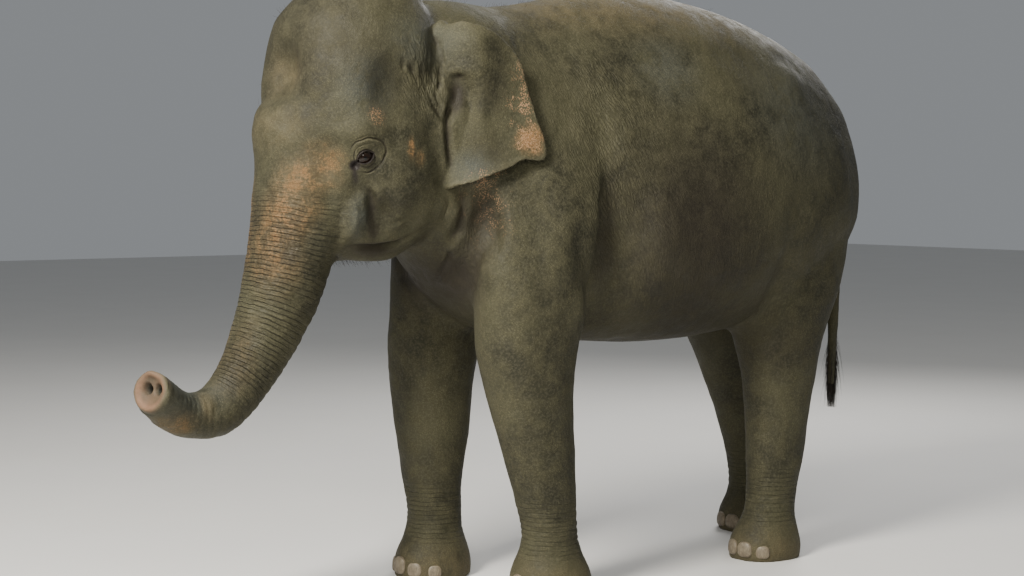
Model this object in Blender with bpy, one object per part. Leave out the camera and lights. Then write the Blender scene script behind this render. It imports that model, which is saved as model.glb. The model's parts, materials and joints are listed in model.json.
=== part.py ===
"""An adult female Asian elephant, standing still: a life-size museum model, in metres.

The elephant faces -Y, its left side is +X and the floor is z = 0. The flesh is made whole from
lofts, fused, smoothed and modelled with strokes, and then parted with thin walls into the pieces
that a person would name. Ears, eyes, nails and the tail are made on their own and let in. The
tables are drawn from the middle of the forefeet, and main() moves the origin under the middle of
the whole animal.
"""

import math

import bmesh
import bpy
from mathutils import Matrix, Vector

# Driving dimensions
SHOULDER_HEIGHT = 2.31  # at the withers: the whole model scales with it
DRAWN_HEIGHT = 2.31  # the withers' height that the tables below are drawn for
GAP = 0.0003  # between neighbours, because meshes hold 32-bit numbers
VOXEL = 0.016  # grain of the fused flesh
FLESH_FACES = 2600  # triangles of the flesh before it is parted
SUNK = -0.04  # the legs are drawn down to here and cut flat at the floor

# ---------------------------------------------------------------- torso and neck

# y, top, bottom, half width, height of the widest place
TORSO = (
    (-0.42, 2.00, 1.36, 0.22, 1.64),
    (-0.28, 2.18, 1.18, 0.34, 1.60),
    (-0.10, 2.27, 1.04, 0.43, 1.52),
    (0.12, 2.31, 0.98, 0.48, 1.46),
    (0.45, 2.375, 0.95, 0.55, 1.44),
    (0.80, 2.375, 0.94, 0.60, 1.46),
    (1.10, 2.325, 0.965, 0.59, 1.52),
    (1.36, 2.25, 1.04, 0.53, 1.56),
    (1.56, 2.16, 1.14, 0.44, 1.56),
    (1.72, 2.03, 1.25, 0.33, 1.55),
    (1.82, 1.84, 1.38, 0.20, 1.55),
)
TORSO_STEPS = 5
TORSO_SIDES = 48
BACK_POWER = 1.12  # above 1 makes the back a little like a roof
BELLY_POWER = 0.92
FLANK_POWER = 0.95

# y and z of the centre, half width, half height
NECK = (
    (-0.78, 1.86, 0.22, 0.28),
    (-0.62, 1.86, 0.28, 0.36),
    (-0.42, 1.85, 0.33, 0.44),
    (-0.20, 1.80, 0.38, 0.50),
    (0.00, 1.72, 0.39, 0.56),
)
NECK_STEPS = 4
NECK_SIDES = 32

# ---------------------------------------------------------------- legs

# height, inward and backward shift, half width, half length
FORELEG = (
    (SUNK, 0.000, 0.000, 0.144, 0.152),
    (0.045, 0.000, 0.000, 0.152, 0.162),
    (0.100, 0.000, 0.000, 0.143, 0.151),
    (0.150, 0.000, 0.002, 0.124, 0.128),
    (0.200, 0.000, 0.006, 0.110, 0.112),
    (0.270, 0.000, 0.008, 0.108, 0.110),
    (0.400, 0.000, 0.004, 0.119, 0.122),
    (0.600, 0.000, 0.000, 0.142, 0.150),
    (0.800, 0.000, 0.002, 0.155, 0.172),
    (0.960, 0.000, 0.018, 0.166, 0.200),
    (1.050, 0.002, 0.045, 0.172, 0.218),
    (1.250, 0.010, 0.060, 0.180, 0.225),
    (1.500, 0.045, 0.060, 0.170, 0.235),
    (1.750, 0.100, 0.070, 0.130, 0.210),
    (2.000, 0.170, 0.110, 0.070, 0.140),
)
HINDLEG = (
    (SUNK, 0.000, 0.000, 0.128, 0.150),
    (0.045, 0.000, 0.000, 0.138, 0.160),
    (0.100, 0.000, 0.002, 0.130, 0.148),
    (0.150, 0.000, 0.010, 0.114, 0.126),
    (0.200, 0.000, 0.016, 0.104, 0.114),
    (0.290, 0.000, 0.022, 0.101, 0.112),
    (0.420, 0.000, 0.024, 0.110, 0.124),
    (0.600, 0.000, 0.014, 0.126, 0.138),
    (0.780, 0.002, -0.008, 0.146, 0.162),
    (0.940, 0.008, -0.025, 0.168, 0.200),
    (1.150, 0.020, -0.015, 0.192, 0.275),
    (1.400, 0.040, 0.010, 0.198, 0.310),
    (1.650, 0.070, 0.020, 0.172, 0.290),
    (1.880, 0.130, 0.020, 0.110, 0.210),
)
LEG_STEPS = 3
LEG_SIDES = 28
LEG_POWER = 0.92

# Sideways and backward place of each foot, and of the joint that the leg hangs from
STANCE = {
    "fore_left": (FORELEG, (0.270, 0.095), (0.310, -0.100)),
    "fore_right": (FORELEG, (-0.270, -0.110), (-0.310, -0.090)),
    "hind_left": (HINDLEG, (0.250, 1.250), (0.290, 1.340)),
    "hind_right": (HINDLEG, (-0.250, 1.630), (-0.290, 1.475)),
}
HIP_HEIGHT = 1.35

# Number of nails on each foot, and the angle between them in degrees
NAILS = {"fore_left": (5, 31), "fore_right": (5, 31), "hind_left": (4, 32), "hind_right": (4, 32)}
NAIL = (0.038, 0.017, 0.036)  # half width, depth and height of the middle nail
NAIL_HEIGHT = 0.054  # of the middle of a nail
NAIL_OUT = 0.95  # how far out on the foot the nails sit
NAIL_TAPER = 0.28  # how much smaller the nails at the sides are
NAIL_POWER = 0.75  # below 1 squares the nails
NAIL_ROUNDS = 4
FOOT_ROW = 1  # the row of a leg's table where the foot is widest

# ---------------------------------------------------------------- head

# height, front, rear, half width
SKULL = (
    (2.345, -0.68, -0.50, 0.150),
    (2.300, -0.80, -0.42, 0.235),
    (2.200, -0.90, -0.36, 0.300),
    (2.050, -0.925, -0.35, 0.332),
    (1.920, -0.94, -0.35, 0.334),
    (1.780, -0.95, -0.34, 0.328),
    (1.650, -0.92, -0.305, 0.316),
    (1.530, -0.89, -0.295, 0.292),
    (1.440, -0.85, -0.34, 0.252),
    (1.370, -0.80, -0.41, 0.200),
    (1.315, -0.75, -0.50, 0.120),
)
SKULL_STEPS = 4
SKULL_SIDES = 36
SKULL_POWERS = (0.80, 0.85)

# sideways, y, z of the centre line, half width, half depth
TRUNK = (
    (0.000, -0.720, 2.000, 0.150, 0.150),
    (0.000, -0.790, 1.850, 0.200, 0.170),
    (0.000, -0.835, 1.700, 0.206, 0.168),
    (0.000, -0.865, 1.520, 0.196, 0.160),
    (0.000, -0.898, 1.350, 0.174, 0.153),
    (0.000, -0.940, 1.200, 0.152, 0.143),
    (0.000, -1.003, 1.050, 0.130, 0.124),
    (0.000, -1.086, 0.905, 0.108, 0.106),
    (0.008, -1.195, 0.790, 0.092, 0.094),
    (0.036, -1.325, 0.775, 0.084, 0.082),
    (0.080, -1.425, 0.822, 0.083, 0.080),
    (0.124, -1.505, 0.884, 0.088, 0.084),
)
TRUNK_STEPS = 5
TRUNK_SIDES = 28

EYE = (0.284, -0.744, 1.693)  # centre of the left eye
EYE_RADIUS = 0.019
EYE_ROUNDS = 5

# y and z at the head, then y, z and x at the rim, from the top row down
EAR = (
    (-0.410, 2.180, -0.365, 2.195, 0.335),
    (-0.425, 2.125, -0.255, 2.155, 0.362),
    (-0.430, 2.040, -0.165, 2.080, 0.388),
    (-0.430, 1.930, -0.120, 1.965, 0.405),
    (-0.430, 1.810, -0.090, 1.835, 0.420),
    (-0.425, 1.710, -0.070, 1.705, 0.428),
    (-0.415, 1.640, -0.195, 1.660, 0.404),
    (-0.405, 1.585, -0.330, 1.605, 0.366),
)
EAR_STEPS = 2
EAR_POINTS = 5
EAR_SEAM = 0.27  # sideways place of the ears' front edges, inside the head
EAR_THICKNESS = (0.024, 0.011)  # at the head and at the rim
EAR_FLARE = 0.75  # below 1 lifts the ear off the neck near the head
EAR_BOW = 0.016

# ---------------------------------------------------------------- tail

# sideways, y, z of the centre line, half width, half depth
TAIL = (
    (0.000, 1.700, 1.900, 0.075, 0.075),
    (0.000, 1.790, 1.840, 0.064, 0.066),
    (0.000, 1.865, 1.730, 0.050, 0.054),
    (0.002, 1.895, 1.560, 0.040, 0.044),
    (0.006, 1.900, 1.330, 0.033, 0.036),
    (0.012, 1.890, 1.100, 0.026, 0.029),
    (0.018, 1.880, 0.900, 0.020, 0.025),
    (0.022, 1.872, 0.780, 0.022, 0.042),
    (0.026, 1.866, 0.660, 0.018, 0.048),
    (0.030, 1.862, 0.560, 0.006, 0.014),
)
TAIL_STEPS = 2
TAIL_SIDES = 8

# ---------------------------------------------------------------- modelling and parting

# Strokes that raise or sink the fused flesh along its normals: place, reach, push.
# Those on the left side are repeated on the right.
MIDDLE_STROKES = (
    ((0.00, -0.62, 2.36), (0.060, 0.34, 0.16), -0.024),  # groove between the domes
    ((0.00, -0.90, 2.03), (0.150, 0.20, 0.15), -0.034),  # hollow of the forehead
    ((0.00, -0.95, 1.80), (0.280, 0.20, 0.15), 0.040),  # boss over the trunk
    ((0.00, 0.60, 2.42), (0.120, 1.00, 0.14), 0.012),  # crest of the back
)
SIDE_STROKES = (
    ((0.15, -0.62, 2.32), (0.160, 0.26, 0.16), 0.018),  # dome
    ((0.33, -0.60, 1.95), (0.250, 0.16, 0.15), -0.030),  # temple
    ((0.30, -0.76, 1.78), (0.200, 0.13, 0.08), 0.016),  # brow
    ((0.30, -0.745, 1.69), (0.200, 0.07, 0.06), -0.014),  # eye socket
    ((0.31, -0.54, 1.64), (0.250, 0.20, 0.20), 0.022),  # cheek
    ((0.26, -0.75, 1.53), (0.160, 0.075, 0.16), -0.026),  # furrow behind the trunk's root
    ((0.16, -0.82, 1.42), (0.120, 0.10, 0.12), 0.016),  # tush sheath
    ((0.42, 0.20, 1.62), (0.300, 0.11, 0.40), -0.022),  # hollow behind the shoulder
    ((0.46, 0.01, 1.45), (0.300, 0.18, 0.36), 0.016),  # shoulder
    ((0.46, 1.11, 1.36), (0.300, 0.13, 0.36), -0.024),  # flank before the thigh
    ((0.44, 1.42, 1.55), (0.300, 0.22, 0.36), 0.014),  # haunch
)
SMOOTHING = (12, 6)  # rounds of smoothing before and after the strokes

# Thin walls that part the flesh: points of y and z in the side view, and half width
WALLS = (
    # head from neck
    (
        (
            (-0.36, 2.60),
            (-0.35, 2.30),
            (-0.33, 2.10),
            (-0.31, 1.80),
            (-0.26, 1.62),
            (-0.27, 1.48),
            (-0.39, 1.39),
            (-0.54, 1.315),
            (-0.62, 1.15),
        ),
        0.60,
    ),
    # lower jaw from head, and from the trunk behind which it starts
    (((-0.780, 1.372), (-0.60, 1.378), (-0.46, 1.41), (-0.268, 1.485)), 0.35),
    (((-0.690, 1.20), (-0.715, 1.325), (-0.778, 1.380)), 0.35),
    # neck from chest
    (((-0.02, 2.60), (-0.14, 1.90), (-0.262, 1.53), (-0.275, 1.50)), 0.60),
    # chest from barrel, and barrel from hindquarters
    (((0.36, 2.60), (0.36, 0.80)), 0.80),
    (((1.00, 2.60), (1.00, 0.80)), 0.80),
    # forelegs and hind legs from the body
    (((-0.60, 0.930), (0.50, 0.930)), 0.60),
    (((0.90, 0.920), (2.10, 0.920)), 0.60),
    # wrists and hocks, then ankles
    (((-0.60, 0.540), (2.10, 0.540)), 0.60),
    (((-0.60, 0.172), (2.10, 0.172)), 0.60),
)
TAIL_WALLS = (
    (((1.70, 1.45), (2.10, 1.45)), 0.20),
    (((1.70, 1.08), (2.10, 1.08)), 0.20),
    (((1.70, 0.80), (2.10, 0.80)), 0.20),
)
# Where the trunk is parted, as places along its table of stations
TRUNK_PARTS = (4.0, 5.4, 6.8, 8.4, 10.0)
TRUNK_WALL = (0.24, 0.35)  # half length and half width of the walls across the trunk

# A place near the middle of each piece
FLESH_PIECES = {
    "head": (0.00, -0.63, 1.84),
    "lower_jaw": (0.00, -0.55, 1.38),
    "neck": (0.00, -0.22, 1.89),
    "chest": (0.00, 0.02, 1.67),
    "barrel": (0.00, 0.68, 1.66),
    "hindquarters": (0.00, 1.41, 1.64),
    "foreleg_left_upper": (0.30, -0.04, 0.75),
    "foreleg_right_upper": (-0.30, -0.07, 0.75),
    "foreleg_left_lower": (0.28, 0.05, 0.36),
    "foreleg_right_lower": (-0.28, -0.10, 0.36),
    "forefoot_left": (0.27, 0.09, 0.09),
    "forefoot_right": (-0.27, -0.11, 0.09),
    "hindleg_left_upper": (0.27, 1.29, 0.73),
    "hindleg_right_upper": (-0.27, 1.50, 0.73),
    "hindleg_left_lower": (0.26, 1.27, 0.36),
    "hindleg_right_lower": (-0.26, 1.60, 0.36),
    "hindfoot_left": (0.25, 1.25, 0.09),
    "hindfoot_right": (-0.25, 1.62, 0.09),
    "trunk_1": (0.00, -0.92, 1.26),
    "trunk_2": (0.00, -1.00, 1.04),
    "trunk_3": (0.00, -1.12, 0.85),
    "trunk_4": (0.04, -1.33, 0.79),
    "trunk_tip": (0.10, -1.46, 0.85),
}
TAIL_PIECES = {
    "tail_1": (0.00, 1.85, 1.67),
    "tail_2": (0.01, 1.90, 1.26),
    "tail_3": (0.02, 1.88, 0.94),
    "tail_tuft": (0.03, 1.87, 0.68),
}
SWELL = 0.001  # the ears and the tail stay this far off the flesh that they grow from
SOCKET = 0.0005  # the eyes and the nails sit this far off their sockets
SIDE_NAMES = {1: "left", -1: "right"}

# name: colour, roughness
MATERIALS = {
    "skin": ((0.150, 0.134, 0.104), 0.75),
    "nail": ((0.330, 0.285, 0.215), 0.60),
    "eye": ((0.030, 0.014, 0.007), 0.10),
    "hair": ((0.016, 0.014, 0.012), 0.65),
}


def clear_scene():
    for old in list(bpy.data.objects):
        bpy.data.objects.remove(old)


def add_object(name, mesh):
    thing = bpy.data.objects.new(name, mesh)
    bpy.context.scene.collection.objects.link(thing)
    return thing


def mesh_object(name, points, faces):
    """An object of these points and faces, with its faces turned outward."""
    work = bmesh.new()
    corners = [work.verts.new(point) for point in points]
    for face in faces:
        work.faces.new([corners[i] for i in face])
    bmesh.ops.recalc_face_normals(work, faces=work.faces)
    mesh = bpy.data.meshes.new(name)
    work.to_mesh(mesh)
    work.free()
    return add_object(name, mesh)


def bake(thing):
    """Puts what the object's modifiers make into its mesh."""
    graph = bpy.context.evaluated_depsgraph_get()
    mesh = bpy.data.meshes.new_from_object(thing.evaluated_get(graph))
    thing.modifiers.clear()
    thing.data = mesh


def curve_through(keys, steps):
    """Rows on a smooth curve through the key rows, with this many steps between keys."""
    rows = []
    last = len(keys) - 1
    for i in range(last):
        near = (keys[max(i - 1, 0)], keys[i], keys[i + 1], keys[min(i + 2, last)])
        for step in range(steps):
            t = step / steps
            weights = (
                0.5 * (-t + 2 * t * t - t ** 3),
                0.5 * (2 - 5 * t * t + 3 * t ** 3),
                0.5 * (t + 4 * t * t - 3 * t ** 3),
                0.5 * (-t * t + t ** 3),
            )
            rows.append([sum(w * v for w, v in zip(weights, column)) for column in zip(*near)])
    rows.append(list(keys[-1]))
    return rows


def power(value, exponent):
    """A signed power, which makes an ellipse squarer or more pointed."""
    return math.copysign(abs(value) ** exponent, value)


def round_angles(sides):
    return [2 * math.pi * k / sides for k in range(sides)]


def tube(name, rings):
    """A closed solid through rings of points, which all have the same number of points."""
    sides = len(rings[0])
    points = [point for ring in rings for point in ring]
    faces = [range(sides), range(len(points) - sides, len(points))]
    for here in range(0, len(points) - sides, sides):
        for k in range(sides):
            after = (k + 1) % sides
            faces.append((here + k, here + after, here + sides + after, here + sides + k))
    return mesh_object(name, points, faces)


def swept_tube(name, keys, steps, sides):
    """A tube along a centre line, from rows of x, y, z, half width and half depth."""
    rows = curve_through(keys, steps)
    rings = []
    for i, (x, y, z, half, deep) in enumerate(rows):
        ahead = Vector(rows[min(i + 1, len(rows) - 1)][:3])
        behind = Vector(rows[max(i - 1, 0)][:3])
        along = (ahead - behind).normalized()
        across = Vector((1, 0, 0))
        across = (across - along * across.dot(along)).normalized()
        up = along.cross(across)
        ring = []
        for angle in round_angles(sides):
            offset = across * half * math.cos(angle) + up * deep * math.sin(angle)
            ring.append(Vector((x, y, z)) + offset)
        rings.append(ring)
    return tube(name, rings)


# ---------------------------------------------------------------- flesh


def torso():
    rings = []
    for y, top, bottom, half, widest in curve_through(TORSO, TORSO_STEPS):
        ring = []
        for angle in round_angles(TORSO_SIDES):
            across = half * power(math.cos(angle), FLANK_POWER)
            lift = math.sin(angle)
            if lift > 0:
                height = widest + (top - widest) * lift ** BACK_POWER
            else:
                height = widest - (widest - bottom) * (-lift) ** BELLY_POWER
            ring.append((across, y, height))
        rings.append(ring)
    return tube("torso", rings)


def neck():
    rings = []
    for y, z, half, tall in curve_through(NECK, NECK_STEPS):
        angles = round_angles(NECK_SIDES)
        rings.append([(half * math.cos(a), y, z + tall * math.sin(a)) for a in angles])
    return tube("neck", rings)


def leg(name):
    stations, foot, hip = STANCE[name]
    side = math.copysign(1, foot[0])
    rings = []
    for height, inward, back, half, long in curve_through(stations, LEG_STEPS):
        share = min(max(height / HIP_HEIGHT, 0), 1)
        share = share * share * (3 - 2 * share)
        x = foot[0] + (hip[0] - foot[0]) * share - side * inward
        y = foot[1] + (hip[1] - foot[1]) * share + back
        ring = []
        for angle in round_angles(LEG_SIDES):
            across = half * power(math.cos(angle), LEG_POWER)
            ring.append((x + across, y + long * power(math.sin(angle), LEG_POWER), height))
        rings.append(ring)
    return tube("leg_" + name, rings)


def skull():
    rings = []
    for height, front, rear, half in curve_through(SKULL, SKULL_STEPS):
        middle = (front + rear) / 2
        long = (rear - front) / 2
        ring = []
        for angle in round_angles(SKULL_SIDES):
            across = half * power(math.cos(angle), SKULL_POWERS[0])
            ring.append((across, middle + long * power(math.sin(angle), SKULL_POWERS[1]), height))
        rings.append(ring)
    return tube("skull", rings)


def join(things, name):
    work = bmesh.new()
    for thing in things:
        work.from_mesh(thing.data)
        bpy.data.objects.remove(thing)
    mesh = bpy.data.meshes.new(name)
    work.to_mesh(mesh)
    work.free()
    return add_object(name, mesh)


def press(mesh, place, reach, push):
    """Moves the points within reach of a place along their normals, most at its middle."""
    moved = []
    for vertex in mesh.vertices:
        far = sum(((a - b) / r) ** 2 for a, b, r in zip(vertex.co, place, reach))
        if far < 1:
            moved.append((vertex, vertex.co + vertex.normal * push * (1 - far) ** 2))
    for vertex, target in moved:
        vertex.co = target
    mesh.update()


def smooth(thing, rounds):
    smoothing = thing.modifiers.new("smooth", "SMOOTH")
    smoothing.factor = 0.5
    smoothing.iterations = rounds
    bake(thing)


def flesh():
    """The whole body without ears, eyes, nails and tail, thinned to plain facets."""
    parts = [torso(), neck(), skull()]
    parts.append(swept_tube("trunk", TRUNK, TRUNK_STEPS, TRUNK_SIDES))
    parts += [leg(name) for name in STANCE]
    whole = join(parts, "flesh")
    fuse = whole.modifiers.new("fuse", "REMESH")
    fuse.mode = "VOXEL"
    fuse.voxel_size = VOXEL
    bake(whole)
    smooth(whole, SMOOTHING[0])
    for place, reach, push in MIDDLE_STROKES:
        press(whole.data, place, reach, push)
    for (x, y, z), reach, push in SIDE_STROKES:
        press(whole.data, (x, y, z), reach, push)
        press(whole.data, (-x, y, z), reach, push)
    smooth(whole, SMOOTHING[1])
    thin = whole.modifiers.new("thin", "DECIMATE")
    thin.ratio = FLESH_FACES / (2 * len(whole.data.polygons))
    thin.use_collapse_triangulate = True
    bake(whole)
    take_out(whole, underground())
    return whole


# ---------------------------------------------------------------- pieces let into the flesh


def ear(side):
    rings = []
    for seam_y, seam_z, rim_y, rim_z, rim_x in curve_through(EAR, EAR_STEPS):
        outer = []
        inner = []
        for i in range(EAR_POINTS):
            t = i / (EAR_POINTS - 1)
            x = EAR_SEAM + (rim_x - EAR_SEAM) * t ** EAR_FLARE + EAR_BOW * math.sin(math.pi * t)
            y = seam_y + (rim_y - seam_y) * t
            z = seam_z + (rim_z - seam_z) * t
            half = (EAR_THICKNESS[0] + (EAR_THICKNESS[1] - EAR_THICKNESS[0]) * t) / 2
            outer.append((side * (x + half), y, z))
            inner.append((side * (x - half), y, z))
        rings.append(outer + inner[::-1])
    return tube("ear_" + SIDE_NAMES[side], rings)


def ball(name, centre, radii, rounds, turn=0.0, exponent=1.0):
    """An ellipsoid that is turned about Z, in radians, and squared by an exponent below 1."""
    work = bmesh.new()
    bmesh.ops.create_uvsphere(work, u_segments=2 * rounds, v_segments=rounds, radius=1)
    for vertex in work.verts:
        vertex.co = [power(c, exponent) * r for c, r in zip(vertex.co, radii)]
    place = Matrix.Translation(centre) @ Matrix.Rotation(turn, 4, "Z")
    bmesh.ops.transform(work, matrix=place, verts=work.verts)
    mesh = bpy.data.meshes.new(name)
    work.to_mesh(mesh)
    work.free()
    return add_object(name, mesh)


def eye(side, margin=0.0):
    """One eye, or its socket when a margin is given."""
    centre = (side * EYE[0], EYE[1], EYE[2])
    return ball("eye_" + SIDE_NAMES[side], centre, [EYE_RADIUS + margin] * 3, EYE_ROUNDS)


def nail(foot_name, number, margin=0.0):
    """One toenail, or its socket when a margin is given."""
    stations, foot, _ = STANCE[foot_name]
    count, step = NAILS[foot_name]
    turn = math.radians((number - (count - 1) / 2) * step)
    half, long = stations[FOOT_ROW][3:]
    x = foot[0] + math.sin(turn) * half * NAIL_OUT
    y = foot[1] - math.cos(turn) * long * NAIL_OUT
    small = 1 - NAIL_TAPER * abs(math.sin(turn))
    radii = [r * small + margin for r in NAIL]
    name = "nail_" + foot_name + "_" + str(number + 1)
    return ball(name, (x, y, NAIL_HEIGHT * small), radii, NAIL_ROUNDS, turn, NAIL_POWER)


def underground():
    """A block under the floor, which cuts the soles flat."""
    points = [(x, y, z) for x in (-1, 1) for y in (-1, 3) for z in (-1, 0)]
    faces = ((0, 1, 3, 2), (4, 6, 7, 5), (0, 4, 5, 1), (2, 3, 7, 6), (0, 2, 6, 4), (1, 5, 7, 3))
    return mesh_object("underground", points, faces)


def take_out(thing, cutter):
    """Cuts the cutter out of the thing, and removes the cutter."""
    difference = thing.modifiers.new("cut", "BOOLEAN")
    difference.operation = "DIFFERENCE"
    difference.object = cutter
    bake(thing)
    bpy.data.objects.remove(cutter)


def swollen(thing):
    """A copy with its surface moved out, which leaves room around what grows from the flesh."""
    mesh = thing.data.copy()
    normals = [vertex.normal.copy() for vertex in mesh.vertices]
    for vertex, normal in zip(mesh.vertices, normals):
        vertex.co += normal * SWELL
    return add_object("swollen", mesh)


# ---------------------------------------------------------------- parting


def wall(points, half):
    """A thin wall along a line in the side view."""
    line = [Vector((0, y, z)) for y, z in points]
    last = len(line) - 1
    across = Vector((half, 0, 0))
    rings = []
    for i, point in enumerate(line):
        along = (line[min(i + 1, last)] - line[max(i - 1, 0)]).normalized()
        stretch = (line[min(i + 1, last)] - line[min(i, last - 1)]).normalized()
        normal = Vector((0, -along.z, along.y))
        offset = normal * GAP / 2 / abs(normal.dot(Vector((0, -stretch.z, stretch.y))))
        low = point - offset
        high = point + offset
        rings.append([low - across, low + across, high + across, high - across])
    return tube("wall", rings)


def trunk_wall(place):
    """A wall square to the trunk at this place along its table."""
    rows = curve_through(TRUNK, TRUNK_STEPS)
    i = round(place * TRUNK_STEPS)
    along = Vector(rows[i + 1][:3]) - Vector(rows[i - 1][:3])
    along.x = 0
    along.normalize()
    centre = Vector((0, rows[i][1], rows[i][2]))
    reach = Vector((0, -along.z, along.y)) * TRUNK_WALL[0]
    ends = (centre - reach, centre + reach)
    return wall([(end.y, end.z) for end in ends], TRUNK_WALL[1])


def loose_meshes(thing):
    """The separate bodies of an object's mesh, each as its own mesh."""
    whole = bmesh.new()
    whole.from_mesh(thing.data)
    whole.faces.ensure_lookup_table()
    seen = set()
    meshes = []
    for seed in whole.faces:
        if seed.index in seen:
            continue
        body = [seed]
        seen.add(seed.index)
        for face in body:
            for edge in face.edges:
                fresh = [other for other in edge.link_faces if other.index not in seen]
                seen.update(other.index for other in fresh)
                body += fresh
        keep = {face.index for face in body}
        part = whole.copy()
        spare = [face for face in part.faces if face.index not in keep]
        bmesh.ops.delete(part, geom=spare, context="FACES")
        mesh = bpy.data.meshes.new("body")
        part.to_mesh(mesh)
        part.free()
        meshes.append(mesh)
    whole.free()
    return meshes


def box(meshes):
    """The lowest and highest corners of some meshes."""
    points = [vertex.co for mesh in meshes for vertex in mesh.vertices]
    low = Vector([min(p[i] for p in points) for i in range(3)])
    high = Vector([max(p[i] for p in points) for i in range(3)])
    return low, high


def name_parts(whole, places):
    """Splits an object into its bodies, and names each after the nearest place in the table."""
    things = {}
    for mesh in loose_meshes(whole):
        low, high = box([mesh])
        middle = (low + high) / 2
        name = min(places, key=lambda n: (Vector(places[n]) - middle).length)
        if name in things:
            raise ValueError("two bodies are nearest to " + name)
        things[name] = add_object(name, mesh)
    bpy.data.objects.remove(whole)
    return things


# ---------------------------------------------------------------- whole model


def finish(things, material_name):
    """Gives each piece a material of its own, of the named kind."""
    colour, roughness = MATERIALS[material_name]
    for thing in things:
        material = bpy.data.materials.new(material_name + "_" + thing.name)
        material.use_nodes = True
        shader = material.node_tree.nodes["Principled BSDF"]
        shader.inputs["Base Color"].default_value = (*colour, 1)
        shader.inputs["Roughness"].default_value = roughness
        thing.data.materials.clear()
        thing.data.materials.append(material)


def settle(things):
    """Scales the model, and puts its origin on the floor under the middle of its box."""
    meshes = [thing.data for thing in things]
    low, high = box(meshes)
    move = Matrix.Translation((-(low.x + high.x) / 2, -(low.y + high.y) / 2, -low.z))
    scale = Matrix.Scale(SHOULDER_HEIGHT / DRAWN_HEIGHT, 4)
    for mesh in meshes:
        mesh.transform(scale @ move)


def main():
    clear_scene()
    whole = flesh()
    ears = [ear(side) for side in SIDE_NAMES]
    tail = swept_tube("tail", TAIL, TAIL_STEPS, TAIL_SIDES)
    for thing in ears + [tail]:
        take_out(thing, swollen(whole))
    for points, half in WALLS:
        take_out(whole, wall(points, half))
    for place in TRUNK_PARTS:
        take_out(whole, trunk_wall(place))
    for points, half in TAIL_WALLS:
        take_out(tail, wall(points, half))
    body = name_parts(whole, FLESH_PIECES)
    tail_parts = name_parts(tail, TAIL_PIECES)
    eyes = []
    for side in SIDE_NAMES:
        take_out(body["head"], eye(side, SOCKET))
        eyes.append(eye(side))
    nails = []
    for foot_name, (count, _) in NAILS.items():
        foot = body[foot_name.replace("_", "foot_")]
        for number in range(count):
            take_out(foot, nail(foot_name, number, SOCKET))
            nails.append(nail(foot_name, number))
    tuft = tail_parts.pop("tail_tuft")
    skin = list(body.values()) + list(tail_parts.values()) + ears
    finish(skin, "skin")
    finish([tuft], "hair")
    finish(eyes, "eye")
    finish(nails, "nail")
    settle(skin + [tuft] + eyes + nails)


main()
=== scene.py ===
"""Looks of a grown female Asian elephant, standing still: a life-size museum model, in metres.

The skin is one piece. It is fused from the same lofts that the solids are drawn with, at a finer
grain, then modelled with strokes, creases and folds, thinned, and refined at the eyes and at the
trunk's end. The eyes, nails and hairs are pieces of their own. The tables are drawn from the
middle of the forefeet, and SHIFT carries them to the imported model's frame at the end.
"""

import itertools
import json
import math

import bmesh
import bpy
import numpy as np
from mathutils import Matrix, Vector
from mathutils.bvhtree import BVHTree


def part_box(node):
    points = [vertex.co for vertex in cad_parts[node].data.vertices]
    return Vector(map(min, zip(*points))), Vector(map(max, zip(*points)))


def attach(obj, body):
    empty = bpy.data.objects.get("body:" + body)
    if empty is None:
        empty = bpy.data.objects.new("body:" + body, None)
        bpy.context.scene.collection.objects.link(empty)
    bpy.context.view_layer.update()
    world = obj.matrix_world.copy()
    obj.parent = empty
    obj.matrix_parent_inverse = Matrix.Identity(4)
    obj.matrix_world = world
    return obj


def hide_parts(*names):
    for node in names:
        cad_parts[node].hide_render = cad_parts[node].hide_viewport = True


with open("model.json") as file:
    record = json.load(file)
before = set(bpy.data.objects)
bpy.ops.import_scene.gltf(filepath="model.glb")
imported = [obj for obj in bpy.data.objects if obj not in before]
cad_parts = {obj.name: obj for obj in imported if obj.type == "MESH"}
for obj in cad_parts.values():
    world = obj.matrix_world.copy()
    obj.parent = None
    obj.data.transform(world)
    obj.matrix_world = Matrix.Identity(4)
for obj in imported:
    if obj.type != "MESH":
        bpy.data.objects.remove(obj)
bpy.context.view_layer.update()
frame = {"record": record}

GRAIN = 0.006  # voxels of the fine skin
ROUGH_GRAIN = 0.014  # voxels of the first fusing
HOLD = 3e-4  # how much more the head, trunk, ears and feet keep of their triangles
SOLE = 0.003  # height under which the soles are laid flat on the floor
SKIN_FACES = 156000  # triangles of the skin before the eyes and nostrils are refined


def table(text):
    """The numbers in each line of a text, without its comments."""
    rows = (line.split("#")[0].split() for line in text.splitlines())
    return tuple(tuple(map(float, row)) for row in rows if row)


def strokes(text):
    """Rows of place, reach and amount."""
    return tuple((row[:3], row[3:6], row[6]) for row in table(text))


# ---------------- tables shared with the solids

# y, top, bottom, half width, height of the widest place
TORSO = table("""
-0.42 2 1.36 0.22 1.64
-0.28 2.18 1.18 0.34 1.6
-0.1 2.27 1.04 0.43 1.52
0.12 2.31 0.98 0.48 1.46
0.45 2.375 0.95 0.55 1.44
0.8 2.375 0.94 0.6 1.46
1.1 2.325 0.965 0.59 1.52
1.36 2.25 1.04 0.53 1.56
1.56 2.16 1.14 0.44 1.56
1.72 2.03 1.25 0.33 1.55
1.82 1.84 1.38 0.2 1.55
""")
BACK_POWER = 1.12
BELLY_POWER = 0.92
FLANK_POWER = 0.95

# y and z of the centre, half width, half height
NECK = table("""
-0.78 1.86 0.22 0.28
-0.62 1.86 0.28 0.36
-0.42 1.85 0.33 0.44
-0.2 1.8 0.38 0.5
0 1.72 0.39 0.56
""")

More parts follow.
